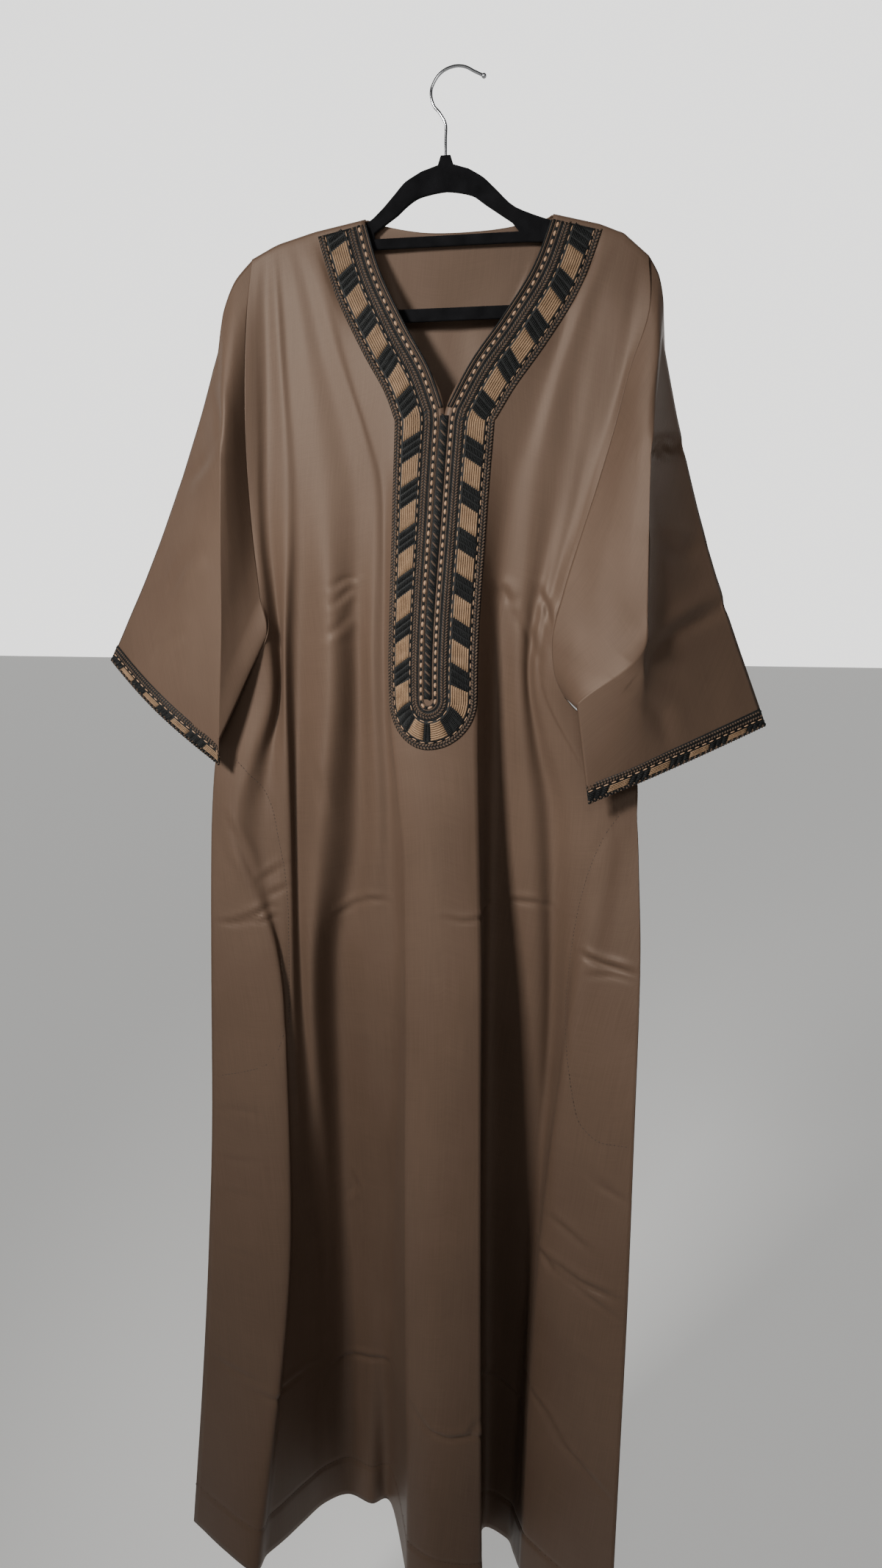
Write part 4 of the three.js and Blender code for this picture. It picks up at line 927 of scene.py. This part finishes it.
def make_sleeve(side, phase):
    grid = sleeve_grid(side)
    strands, places = grid.shape[:2]
    points = grid.reshape(-1, 3)
    numbers = np.arange(len(points)).reshape(strands, places)
    numbers[-1, 1:] = numbers[0, 1:]
    quads = grid_quads(numbers, flip=side == "left")
    top = [numbers[0, 0], numbers[-1, 0], numbers[0, 1], numbers[0, 1]]
    quads = np.vstack([quads, [top if side == "left" else [top[0], top[2], top[1], top[1]]]])
    used, inverse = np.unique(quads, return_inverse=True)
    quads = inverse.reshape(quads.shape)
    uv = weave_coordinates(grid).reshape(-1, 2)[used]
    points = points[used]
    normals = vertex_normals(points, quads)
    lift = crease_height(SLEEVE_CREASES[side], points) * (normals[:, 1] < 0.2) + unevenness(points, phase)
    from_arm = np.arange(places) / ARM_FINE
    from_cuff = np.arange(places)[::-1] / OUTER_FINE
    free = np.tile(np.clip(np.minimum(from_arm, from_cuff), 0, 1), strands)
    points = points + normals * (lift * free[used])[:, None]
    sleeve = make_shell(f"sleeve_cloth_{side}", points, quads, uv, [CLOTH_BROWN])
    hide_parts(f"sleeve_{side}")
    return sleeve, grid


sleeve_left, left_grid = make_sleeve("left", 1.1)
sleeve_right, right_grid = make_sleeve("right", 3.3)


# ---------------------------------------------------------------- raised stitches and braids
def button_form(around=8):
    """A low rounded form of unit half sizes, closed underneath: points and faces."""
    points = []
    for height, reach in ((0.0, 1.0), (0.55, 0.86), (0.92, 0.46)):
        for i in range(around):
            angle = 2 * math.pi * i / around
            points.append((reach * math.cos(angle), reach * math.sin(angle), height))
    points.append((0, 0, 1.05))
    faces = []
    for ring in range(2):
        for i in range(around):
            j = (i + 1) % around
            a, b = ring * around, (ring + 1) * around
            faces.append([a + i, a + j, b + j, b + i])
    top = 2 * around
    faces += [[top + i, top + (i + 1) % around, 3 * around] for i in range(around)]
    faces.append(list(range(around))[::-1])
    return np.array(points), faces


FORM_POINTS, FORM_FACES = button_form()
BRAID_LEAN = 0.9            # how far a strand leans across for each millimetre along
ROPE_LEAN = 1.0
RIBBON_LIFT = 0.5           # the backing's faces, above the cloth
RIBBON_BASE = 0.05


class Stitches:
    """Collects many small raised stitches of a few materials into one mesh."""

    def __init__(self, name, materials):
        self.name = name
        self.materials = materials
        self.points, self.faces, self.material_of = [], [], []
        self.count = 0

    def add(self, centre, along, across, normal, half_length, half_width, height, material=0):
        local = FORM_POINTS * (half_length, half_width, height)
        placed = centre + local[:, :1] * along + local[:, 1:2] * across + local[:, 2:] * normal
        self.take(placed, FORM_FACES, material)

    def take(self, points, faces, material):
        self.points.append(np.asarray(points))
        self.faces += [[n + self.count for n in face] for face in faces]
        self.material_of += [material] * len(faces)
        self.count += len(points)

    def tube(self, points, normals, radius, material, sides=6):
        """A cord lying along points, half sunk in the cloth."""
        points, normals = np.asarray(points), np.asarray(normals)
        tangents = np.gradient(points, axis=0)
        tangents /= np.linalg.norm(tangents, axis=1, keepdims=True)
        across = np.cross(normals, tangents)
        across /= np.linalg.norm(across, axis=1, keepdims=True)
        rings = []
        for i in range(sides):
            angle = 2 * math.pi * i / sides
            rings.append(points + radius * (math.cos(angle) * across + math.sin(angle) * normals))
        ring_points = np.stack(rings, axis=1).reshape(-1, 3)
        faces = []
        for r in range(len(points) - 1):
            for i in range(sides):
                j = (i + 1) % sides
                faces.append([r * sides + i, (r + 1) * sides + i, (r + 1) * sides + j, r * sides + j])
        last = (len(points) - 1) * sides
        faces.append(list(range(sides)))
        faces.append([last + i for i in reversed(range(sides))])
        self.take(ring_points, faces, material)

    def build(self, node):
        thing = make_mesh(self.name, np.vstack(self.points), self.faces, self.materials, self.material_of)
        if node:
            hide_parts(*node)
        return thing


class Strip:
    """A strip of cloth in two directions: stations along it and offsets across it."""

    def __init__(self, grid, normals, offsets):
        self.grid, self.normals, self.offsets = grid, normals, np.asarray(offsets, float)

    def line(self, offset):
        """All stations at one offset: points and normals."""
        k = np.interp(offset, self.offsets, np.arange(len(self.offsets)))
        low = min(int(k), len(self.offsets) - 2)
        t = k - low
        points = mix(self.grid[:, low], self.grid[:, low + 1], t)
        return points, mix(self.normals[:, low], self.normals[:, low + 1], t)

    def lengths(self, offset):
        return lengths_along(self.line(offset)[0])

    def places(self, offset, pitch, start=0.5):
        """Stations, as fractions of the station number, an even pitch apart."""
        lengths = self.lengths(offset)
        count = max(1, round(lengths[-1] / pitch))
        wanted = (np.arange(count) + start) * lengths[-1] / count
        return np.interp(wanted, lengths, np.arange(len(lengths))), lengths[-1] / count

    def frame(self, station, offset):
        """Centre, direction along, direction across and normal at a place."""
        def at(s, o):
            k = float(np.interp(o, self.offsets, np.arange(len(self.offsets))))
            i, j = min(int(s), len(self.grid) - 2), min(int(k), len(self.offsets) - 2)
            u, v = s - i, k - j
            g = self.grid
            return mix(mix(g[i, j], g[i + 1, j], u), mix(g[i, j + 1], g[i + 1, j + 1], u), v)
        top = len(self.grid) - 1
        along = at(min(top, station + 0.6), offset) - at(max(0, station - 0.6), offset)
        outer = at(station, min(self.offsets[-1], offset + 0.8))
        out = outer - at(station, max(self.offsets[0], offset - 0.8))
        along /= np.linalg.norm(along)
        normal = np.cross(along, out)
        normal /= np.linalg.norm(normal)
        i = min(int(station), top - 1)
        if np.dot(normal, self.normals[i, int(np.argmin(abs(self.offsets - offset)))]) < 0:
            normal = -normal
        across = np.cross(normal, along)
        if np.dot(across, out) < 0:
            across = -across
        return at(station, offset), along, across, normal


def strand(stitches, strip, station, offset, lean, half_length, half_width, height, colour):
    """One short strand, which leans across the strip."""
    centre, along, across, normal = strip.frame(station, offset)
    slanted = along + lean * across
    slanted = slanted / np.linalg.norm(slanted)
    side = np.cross(normal, slanted)
    stitches.add(centre, slanted, side, normal, half_length, half_width, height, colour)


def braid(stitches, strip, offset, width, pitch, height, colours):
    """Two rows of short slanted strands that meet like a plait."""
    places, step = strip.places(offset, pitch)
    last = len(strip.grid) - 1.0
    for n, station in enumerate(places):
        for sign in (-1, 1):
            shifted = min(last, station + (0.5 if sign > 0 else 0.0) * (places[1] - places[0]))
            colour = colours[(n + (sign > 0)) % len(colours)]
            strand(stitches, strip, shifted, offset + sign * width * 0.24, BRAID_LEAN * sign,
                   width * 0.30, step * 0.36, height, colour)


def rope(stitches, strip, offset, width, pitch, height, colours):
    """One row of slanted strands, like a laid rope."""
    places, step = strip.places(offset, pitch)
    for n, station in enumerate(places):
        strand(stitches, strip, station, offset, ROPE_LEAN, width * 0.6, step * 0.36, height,
               colours[n % len(colours)])


def dashes(stitches, strip, offset, pitch, length, width, height, colour, knot=None):
    """Flat stitches end to end, with a dark knot between them where one is named."""
    places, _ = strip.places(offset, pitch)
    for station in places:
        stitches.add(*strip.frame(station, offset), length / 2, width / 2, height, colour)
    if knot is not None:
        between, _ = strip.places(offset, pitch, 0.0)
        for station in between:
            stitches.add(*strip.frame(station, offset), (pitch - length) * 0.3, width * 0.55,
                         height * 0.8, knot)


def laid_cord(stitches, strip, offset, lift, radius, colour, picked=slice(None)):
    """A thin cord along the strip, or along the stations that are picked."""
    points, facing = strip.line(offset)
    stitches.tube(points[picked] + facing[picked] * lift, facing[picked], radius, colour)


def ribbon(stitches, strip, low, high, material, steps):
    """A flat backing under the raised threads."""
    lines = [strip.line(offset) for offset in np.linspace(low, high, steps + 1)]
    top = np.stack([points + normals * RIBBON_LIFT for points, normals in lines], axis=1)
    base = top - np.stack([normals for _, normals in lines], axis=1) * (RIBBON_LIFT - RIBBON_BASE)
    count = top.shape[0] * top.shape[1]
    numbers = np.arange(count).reshape(top.shape[:2])
    corner = top[0, 0], top[1, 0], top[0, 1]
    facing = np.dot(np.cross(corner[1] - corner[0], corner[2] - corner[0]), strip.normals[0, 0])
    quads = grid_quads(numbers, flip=facing < 0)
    rim = rim_edges(quads)
    faces = quads.tolist() + [[n + count for n in reversed(q)] for q in quads.tolist()]
    faces += [[b, a, a + count, b + count] for a, b in rim.tolist()]
    stitches.take(np.vstack([top.reshape(-1, 3), base.reshape(-1, 3)]), faces, material)


class Blocks:
    """Slanted blocks on a strip: dark ones of slanting bars of stitches, tan ones of lengthwise ribs."""

    def __init__(self, stitches, strip, low, high, height):
        self.stitches, self.strip = stitches, strip
        self.low, self.high, self.height = low, high, height
        self.middle = (low + high) / 2
        self.lengths = strip.lengths(self.middle)
        self.total = self.lengths[-1]

    def station(self, length, offset, slant):
        leaning = length + slant * (offset - self.middle)
        return float(np.interp(leaning, self.lengths, np.arange(len(self.lengths))))

    def dark(self, start, end, slant, bars, colour):
        bar = (end - start) / bars
        count = max(4, round((self.high - self.low) / 1.7))
        width = (self.high - self.low) / count
        for b in range(bars):
            for k in range(count):
                offset = self.low + width * (k + 0.5)
                length = start + bar * (b + 0.5)
                if not 1 < length + slant * (offset - self.middle) < self.total - 1:
                    continue
                place = self.strip.frame(self.station(length, offset, slant), offset)
                self.stitches.add(*place, bar * 0.5, width * 0.56, self.height, colour)

    def tan(self, start, end, slant, ribs, colour):
        width = (self.high - self.low) / ribs
        for r in range(ribs):
            offset = self.low + width * (r + 0.5)
            run, facing = [], []
            for length in np.linspace(start, end, max(3, round((end - start) / 3.5))):
                if not 0.5 < length + slant * (offset - self.middle) < self.total - 0.5:
                    continue
                centre, _, _, normal = self.strip.frame(self.station(length, offset, slant), offset)
                run.append(centre + normal * 0.35)
                facing.append(normal)
            if len(run) > 2:
                self.stitches.tube(run, facing, width * 0.48, colour)


def neck_blocks(stitches, strip):
    """The neck band's blocks, alike on both sides of a dark wedge at the foot of the placket."""
    blocks = Blocks(stitches, strip, TRIM["blocks from"], TRIM["blocks to"], 1.5)
    foot = float(np.interp((len(strip.grid) - 1) / 2, np.arange(len(blocks.lengths)), blocks.lengths))
    blocks.dark(foot - 3.6, foot, 0, 1, 1)
    blocks.dark(foot, foot + 3.6, 0, 1, 1)
    for side in (-1, 1):
        start = 3.6
        dark = False
        while start < foot:
            size = DARK_BLOCK if dark else (FOOT_BLOCK if start < 5 else TAN_BLOCK)
            end = start + size
            middle = (start + end) / 2
            slant = -side * float(np.interp(middle, BLOCK_SLANT["along"], BLOCK_SLANT["lean"]))
            a, b = sorted((foot + side * start, foot + side * end))
            if dark:
                blocks.dark(a + 0.3, b - 0.3, slant, 3, 1)
            else:
                blocks.tan(a + 0.3, b - 0.3, slant, 8, 0)
            start = end
            dark = not dark


def placket_place(side, offset, z):
    middle = smooth_at(RIDGE_HEIGHTS, RIDGE["middle"][0], z)
    edge = smooth_at(RIDGE_HEIGHTS, RIDGE[side][0], z)
    return mix(middle, edge, offset / BAND_WIDTH), z


def neck_place(side, offset, fraction):
    point, out = neck_edge(side, fraction)
    return point[0] + out[0] * offset, point[2] + out[1] * offset


NECK_STATIONS = 56
PLACKET_STATIONS = 60
ROUND_STATIONS = 36
BAND_OFFSETS = np.arange(0, BAND_WIDTH + 1.1, 1.0)


def neck_band_strip():
    """Places on the whole band, from the left shoulder round the placket to the right one."""
    places = []
    slit_side = {}
    for side in ("left", "right"):
        neck = [[neck_place(side, o, mix(0.03, 0.985, i / NECK_STATIONS)) for o in BAND_OFFSETS]
                for i in range(NECK_STATIONS + 1)]
        placket = [[placket_place(side, o, mix(SLIT_BOTTOM - 12, PLACKET_ROUND, i / PLACKET_STATIONS))
                    for o in BAND_OFFSETS] for i in range(PLACKET_STATIONS + 1)]
        slit_side[side] = neck + placket
    turn = []
    for i in range(1, ROUND_STATIONS):
        angle = math.pi * (1 - i / ROUND_STATIONS)
        side = "left" if math.cos(angle) < 0 else "right"
        row = []
        for o in BAND_OFFSETS:
            x, _ = placket_place(side, o * abs(math.cos(angle)), PLACKET_ROUND)
            row.append((x, PLACKET_ROUND - o * math.sin(angle)))
        turn.append(row)
    places = slit_side["left"] + turn + slit_side["right"][::-1]
    grid, facing = [], []
    for row in places:
        found = [on_front(x, z) for x, z in row]
        grid.append([hit for hit, _ in found])
        facing.append([normal for _, normal in found])
    grid = np.array(grid)
    facing = np.array(facing)
    smoothed = facing.copy()
    for _ in range(4):
        smoothed[1:-1] = (smoothed[:-2] + smoothed[1:-1] * 2 + smoothed[2:]) / 4
        smoothed[:, 1:-1] = (smoothed[:, :-2] + smoothed[:, 1:-1] * 2 + smoothed[:, 2:]) / 4
    smoothed /= np.linalg.norm(smoothed, axis=2, keepdims=True)
    return Strip(grid, smoothed, BAND_OFFSETS)


band = neck_band_strip()

outer = Stitches("outer_braid", [BROWN, BLACK])
ribbon(outer, band, TRIM["outer dashes"] + 1.0, BAND_WIDTH, 1, 4)
braid(outer, band, TRIM["outer braid"], 7.0, 3.4, 1.6, (0,))
outer.build(["neck_outer_braid"])

block = Stitches("block_band", [TAN, BLACK, PALE])
ribbon(block, band, TRIM["inner dashes"] - 1.2, TRIM["outer dashes"] + 0.9, 1, 8)
neck_blocks(block, band)
for name in ("inner dashes", "outer dashes"):
    dashes(block, band, TRIM[name], 9.4, 6.8, 1.3, 1.3, 2)
block.build(["neck_block_band"])

inner = Stitches("inner_braid", [BROWN, BLACK])
ribbon(inner, band, 12.4, 21.9, 1, 4)
braid(inner, band, TRIM["inner braid"], 7.4, 3.0, 1.6, (0,))
for offset in (12.6, 21.4):
    laid_cord(inner, band, offset, 0.5, 0.55, 1)
inner.build(["neck_inner_braid"])

beads = Stitches("beaded_cord", [PALE, BLACK, BROWN])
ribbon(beads, band, 5.6, 12.0, 1, 3)
dashes(beads, band, TRIM["bead line"], 8.6, 6.2, 3.3, 1.8, 0, 1)
for offset, colour in ((6.1, 2), (10.8, 2), (11.8, 1)):
    laid_cord(beads, band, offset, 0.6, 0.6, colour)
beads.build(["neck_beaded_cord"])


def edge_cord(side, picked):
    """Three thin cords side by side on the cut edge of the V."""
    cord = Stitches(f"edge_cord_{side}", [BLACK, BROWN])
    for offset, radius, colour in ((0.8, 1.0, 0), (2.5, 0.85, 1), (4.1, 0.75, 0)):
        laid_cord(cord, band, offset, 0.6, radius, colour, picked)
    cord.build([f"neck_edge_cord_{side}"])


edge_cord("left", slice(0, NECK_STATIONS + 1))
edge_cord("right", slice(len(band.grid) - NECK_STATIONS - 1, len(band.grid)))


def centre_strip():
    """The middle of the placket, from just under the slit to its round end."""
    rows, facing = [], []
    for i in range(PLACKET_STATIONS + 1):
        z = mix(SLIT_BOTTOM - 6, PLACKET_ROUND + 1, i / PLACKET_STATIONS)
        found = [on_front(*placket_place("left" if o < 0 else "right", abs(o), z)) for o in range(-5, 6)]
        rows.append([hit for hit, _ in found])
        facing.append([normal for _, normal in found])
    return Strip(np.array(rows), np.array(facing), np.arange(-5, 6))


middle_strip = centre_strip()
centre = Stitches("centre_braid", [BLACK, BROWN])
ribbon(centre, middle_strip, -4.7, 4.7, 0, 4)
rope(centre, middle_strip, 0.0, 8.2, 3.2, 1.8, (0, 0, 1))
centre.build(["placket_centre_braid"])


# ---------------------------------------------------------------- cuffs
def cuff_strip(grid):
    """The last stretch of a sleeve as a closed strip; offset 0 is the sleeve's open edge."""
    ends = grid[:-1, -OUTER_FINE - 1::2][:, ::-1]
    ends = spline(np.concatenate([ends, ends[:1]]), 2)
    flat = ends.reshape(-1, 3)
    numbers = np.arange(len(flat)).reshape(ends.shape[:2])
    facing = vertex_normals(flat, grid_quads(numbers)).reshape(ends.shape)
    middle = ends.reshape(-1, 3).mean(axis=0)
    outward = ((ends - middle) * facing).sum(axis=2).mean()
    lengths = np.linalg.norm(ends[:, -1] - ends[:, 0], axis=1).mean()
    offsets = np.linspace(0, lengths, ends.shape[1])
    return Strip(ends, facing if outward > 0 else -facing, offsets), lengths


def make_cuff(side, grid):
    strip, depth = cuff_strip(grid)
    cuff = Stitches(f"cuff_{side}", [TAN, BLACK, PALE, BROWN])
    ribbon(cuff, strip, 0.3, depth - 0.5, 1, 5)
    braid(cuff, strip, 2.6, 4.8, 3.2, 1.7, (1, 3))
    blocks = Blocks(cuff, strip, 5.4, 11.6, 1.4)
    pairs = round(blocks.total / 46)
    pair = blocks.total / pairs
    slant = 0.6 if side == "left" else -0.6
    for n in range(pairs):
        blocks.dark(n * pair + 0.3, n * pair + pair * 0.48, slant, 3, 1)
        blocks.tan(n * pair + pair * 0.5, (n + 1) * pair - 0.3, slant, 4, 0)
    dashes(cuff, strip, 13.2, 8.6, 6.4, 1.5, 1.4, 2)
    braid(cuff, strip, 16.8, 5.4, 3.2, 1.4, (3,))
    cuff.build([f"cuff_band_{side}"])


make_cuff("left", left_grid)
make_cuff("right", right_grid)


# ---------------------------------------------------------------- pockets
def sampled_path(path, pitch):
    """Places an even pitch apart along a smooth line through a path."""
    path = spline(path, 12)
    lengths = lengths_along(path)
    wanted = np.arange(pitch / 2, lengths[-1], pitch)
    return [(np.interp(w, lengths, path[:, 0]), np.interp(w, lengths, path[:, 1])) for w in wanted]


LOST_STITCH = 25            # stitches further apart than this would cross a fold, and are left out


def pocket_stitching(side):
    """Small dark stitches on the front, round the bag that hangs behind it."""
    line = Stitches(f"pocket_stitching_{side}", [STITCH])
    places = [on_front(x, z) for x, z in sampled_path(POCKET_STITCH[side], 4.2)]
    for i in range(1, len(places) - 1):
        point, normal = places[i]
        along = places[i + 1][0] - places[i - 1][0]
        length = np.linalg.norm(along)
        if length > LOST_STITCH:
            continue
        along = along / length
        line.add(point - normal * 0.1, along, np.cross(normal, along), normal, 1.35, 0.45, 0.45)
    line.build([])


for side in ("left", "right"):
    pocket_stitching(side)


def hem_stitching():
    """One row of machine stitches above the hem, on the front and the back."""
    line = Stitches("hem_stitching", [STITCH])
    for points, quads in ((front_points, front_quads), (back_points, back_quads)):
        above = points[:, 2] - hem_line(points) - HEM_STITCH
        normals = vertex_normals(points, quads)
        edges = np.unique(np.sort(np.vstack([quads[:, [0, 1]], quads[:, [2, 3]]]), axis=1), axis=0)
        crossing = edges[(above[edges[:, 0]] > 0) != (above[edges[:, 1]] > 0)]
        t = above[crossing[:, 0]] / (above[crossing[:, 0]] - above[crossing[:, 1]])
        places = mix(points[crossing[:, 0]], points[crossing[:, 1]], t[:, None])
        facing = normals[crossing[:, 0]]
        for place, normal in zip(places, facing):
            along = np.cross(normal, (0, 0, 1.0))
            along /= np.linalg.norm(along)
            line.add(place - normal * 0.1, along, np.cross(normal, along), normal, 1.3, 0.4, 0.45)
    line.build([])


hem_stitching()


BAG_INSET = 9               # from the side line to the bag's outer edge
BAG_BEHIND = 3.2            # behind the front's outer face


def pocket_bag(side):
    """A flat bag hanging from the side seam, just behind the front."""
    outline = spline(POCKET_STITCH[side], 4)
    sign = -1 if side == "left" else 1
    order = np.argsort(-outline[:, 1])
    underarm, hem = SIDE[side]["underarm"], SIDE[side]["hem"]
    rows = []
    for z in np.linspace(outline[2][1], outline[-1][1] + 2, 40):
        inner_x = np.interp(-z, -outline[order][:, 1], outline[order][:, 0])
        row_here = ARM_ROWS + (underarm - z) / (underarm - hem) * SKIRT_ROWS
        outer_x = side_point(side, row_here)[0] - sign * BAG_INSET
        row = []
        for t in np.linspace(0, 1, 13):
            point, normal = on_front(mix(outer_x, inner_x + sign * 2, t), z)
            row.append(point - normal * BAG_BEHIND)
        rows.append(row)
    grid = np.array(rows)
    for _ in range(3):
        grid[1:-1] = (grid[:-2] + 2 * grid[1:-1] + grid[2:]) / 4
    numbers = np.arange(grid.shape[0] * grid.shape[1]).reshape(grid.shape[:2])
    quads = grid_quads(numbers, flip=side == "right")
    uv = weave_coordinates(grid).reshape(-1, 2)
    bag = make_shell(f"pocket_lining_{side}", grid.reshape(-1, 3), quads, uv, [POCKET_BROWN], 0.5)
    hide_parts(f"pocket_bag_{side}")
    return bag


bags = {side: pocket_bag(side) for side in ("left", "right")}


# ---------------------------------------------------------------- hanger
def rounded(points, steps=4):
    return [tuple(p) for p in spline(points, steps, 0.4)]


def hanger_curve():
    """The hanger's outline, the opening over its lower bar and the one under its arch."""
    h = HANGER
    outline = rounded(h["arch"][2:] + h["arm left"])
    outline += [(h["bar left"], h["bar bottom"]), (h["bar right"], h["bar bottom"])]
    outline += rounded(h["arm right"][::-1] + h["arch right"][:1:-1])
    outline += h["arch right"][1::-1] + h["arch"][:2]
    lower_left = [(x, z - h["arm width"]) for x, z in h["arm left"][:2]]
    lower_right = [(x, z - h["arm width"]) for x, z in h["arm right"][:2]]
    under = [(h["tie left"], h["tie bottom"])] + lower_left + h["under left"]
    under += h["under right"] + lower_right[::-1] + [(h["tie right"], h["tie bottom"])]
    post = h["tie left"] + h["post"]
    arch = [(post, h["tie top"]), (post, h["post top"])]
    arch += rounded(h["arch inside"] + h["arch inside right"])
    arch.append((h["tie right"] - h["post"], h["tie top"]))
    data = bpy.data.curves.new("hanger", "CURVE")
    data.dimensions = "2D"
    data.fill_mode = "BOTH"
    data.extrude = h["flat"] * MM
    data.bevel_depth = h["bevel"] * MM
    data.bevel_resolution = 3
    data.offset = -h["bevel"] * MM
    for loop in (outline, under, arch):
        path = data.splines.new("POLY")
        path.points.add(len(loop) - 1)
        for point, (x, z) in zip(path.points, loop):
            point.co = (x * MM, z * MM, 0, 1)
        path.use_cyclic_u = True
    return data


def curve_to_mesh(name, data, material, turn):
    """A mesh from a curve, which is turned upright where it was drawn flat."""
    shape = bpy.data.objects.new(name, data)
    bpy.context.collection.objects.link(shape)
    graph = bpy.context.evaluated_depsgraph_get()
    mesh = bpy.data.meshes.new_from_object(shape.evaluated_get(graph))
    bpy.data.objects.remove(shape)
    if turn:
        for vertex in mesh.vertices:
            x, z, y = vertex.co
            vertex.co = (x, -y, z)
    mesh.materials.clear()
    mesh.materials.append(material)
    mesh.polygons.foreach_set("use_smooth", np.full(len(mesh.polygons), True))
    thing = bpy.data.objects.new(name, mesh)
    bpy.context.collection.objects.link(thing)
    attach(thing, "root")
    return thing


hanger = curve_to_mesh("hanger", hanger_curve(), VELVET, True)
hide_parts("hanger_frame")


def hook_curve():
    """The hook's wire, from inside the hanger's neck over the top to its free end."""
    data = bpy.data.curves.new("hook", "CURVE")
    data.dimensions = "3D"
    data.bevel_depth = HOOK_WIRE * MM
    data.bevel_resolution = 5
    data.use_fill_caps = True
    fine = spline([(x, 0, z) for x, z in HOOK_PATH], 10)
    path = data.splines.new("POLY")
    path.points.add(len(fine) - 1)
    for point, place in zip(path.points, fine):
        point.co = (*(place * MM), 1)
    return data


hook = curve_to_mesh("hook", hook_curve(), CHROME, False)
bpy.ops.mesh.primitive_uv_sphere_add(segments=20, ring_count=14, radius=HOOK_BALL * MM,
                                     location=(HOOK_PATH[-1][0] * MM, 0, HOOK_PATH[-1][1] * MM))
ball = bpy.context.object
ball.name = "hook_tip"
ball.data.materials.append(CHROME)
ball.data.polygons.foreach_set("use_smooth", np.full(len(ball.data.polygons), True))
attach(ball, "root")
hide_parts("hanger_hook")

# ---------------------------------------------------------------- floor, light and camera
FLOOR = -2.05
bpy.ops.mesh.primitive_plane_add(size=40, location=(0, 0, FLOOR))
floor = bpy.context.object
floor.name = "floor"
floor_material, floor_tree, floor_shader = new_material("pale floor")
set_values(floor_shader, {"Base Color": (0.94, 0.94, 0.93, 1), "Roughness": 0.9})
floor.data.materials.append(floor_material)


def add_light(name, place, aim, size, power, colour, spread):
    data = bpy.data.lights.new(name, "AREA")
    data.shape = "RECTANGLE"
    data.spread = math.radians(spread)
    data.size, data.size_y = size
    data.energy = power
    data.color = colour
    light = bpy.data.objects.new(name, data)
    light.location = place
    light.rotation_euler = (Vector(aim) - Vector(place)).to_track_quat("-Z", "Y").to_euler()
    bpy.context.collection.objects.link(light)


add_light("key", (-0.92, -1.42, 0.2), (0.05, 0, -0.70), (0.36, 0.32), 10.4, (1.0, 0.98, 0.95), 76)
add_light("fill", (0.35, -1.75, 0.1), (0.05, 0, -0.55), (0.5, 0.5), 1.6, (1.0, 0.98, 0.96), 80)


def studio_world():
    """Pale studio surroundings: bright behind the garment, dimmer in front of it."""
    world = bpy.data.worlds.new("studio")
    bpy.context.scene.world = world
    world.use_nodes = True
    tree = world.node_tree
    background = tree.nodes["Background"]
    background.inputs["Color"].default_value = (0.93, 0.925, 0.91, 1)
    axes = tree.nodes.new("ShaderNodeSeparateXYZ")
    tree.links.new(tree.nodes.new("ShaderNodeTexCoord").outputs["Generated"], axes.inputs["Vector"])
    strength = tree.nodes.new("ShaderNodeMapRange")
    strength.interpolation_type = "SMOOTHSTEP"
    set_values(strength, {"From Min": 0.05, "From Max": 0.92, "To Min": 0.06, "To Max": 2.1})
    tree.links.new(axes.outputs["Y"], strength.inputs["Value"])
    tree.links.new(strength.outputs["Result"], background.inputs["Strength"])


studio_world()

camera_data = bpy.data.cameras.new("camera")
camera = bpy.data.objects.new("camera", camera_data)
camera.location = (0.2309, -1.2693, -0.502)
camera.rotation_euler = (math.radians(80), 0, math.radians(11))
camera_data.lens = 27.09
camera_data.sensor_width = 36
camera_data.sensor_fit = "AUTO"
camera_data.clip_start = 0.02
camera_data.clip_end = 60
bpy.context.collection.objects.link(camera)
bpy.context.scene.camera = camera
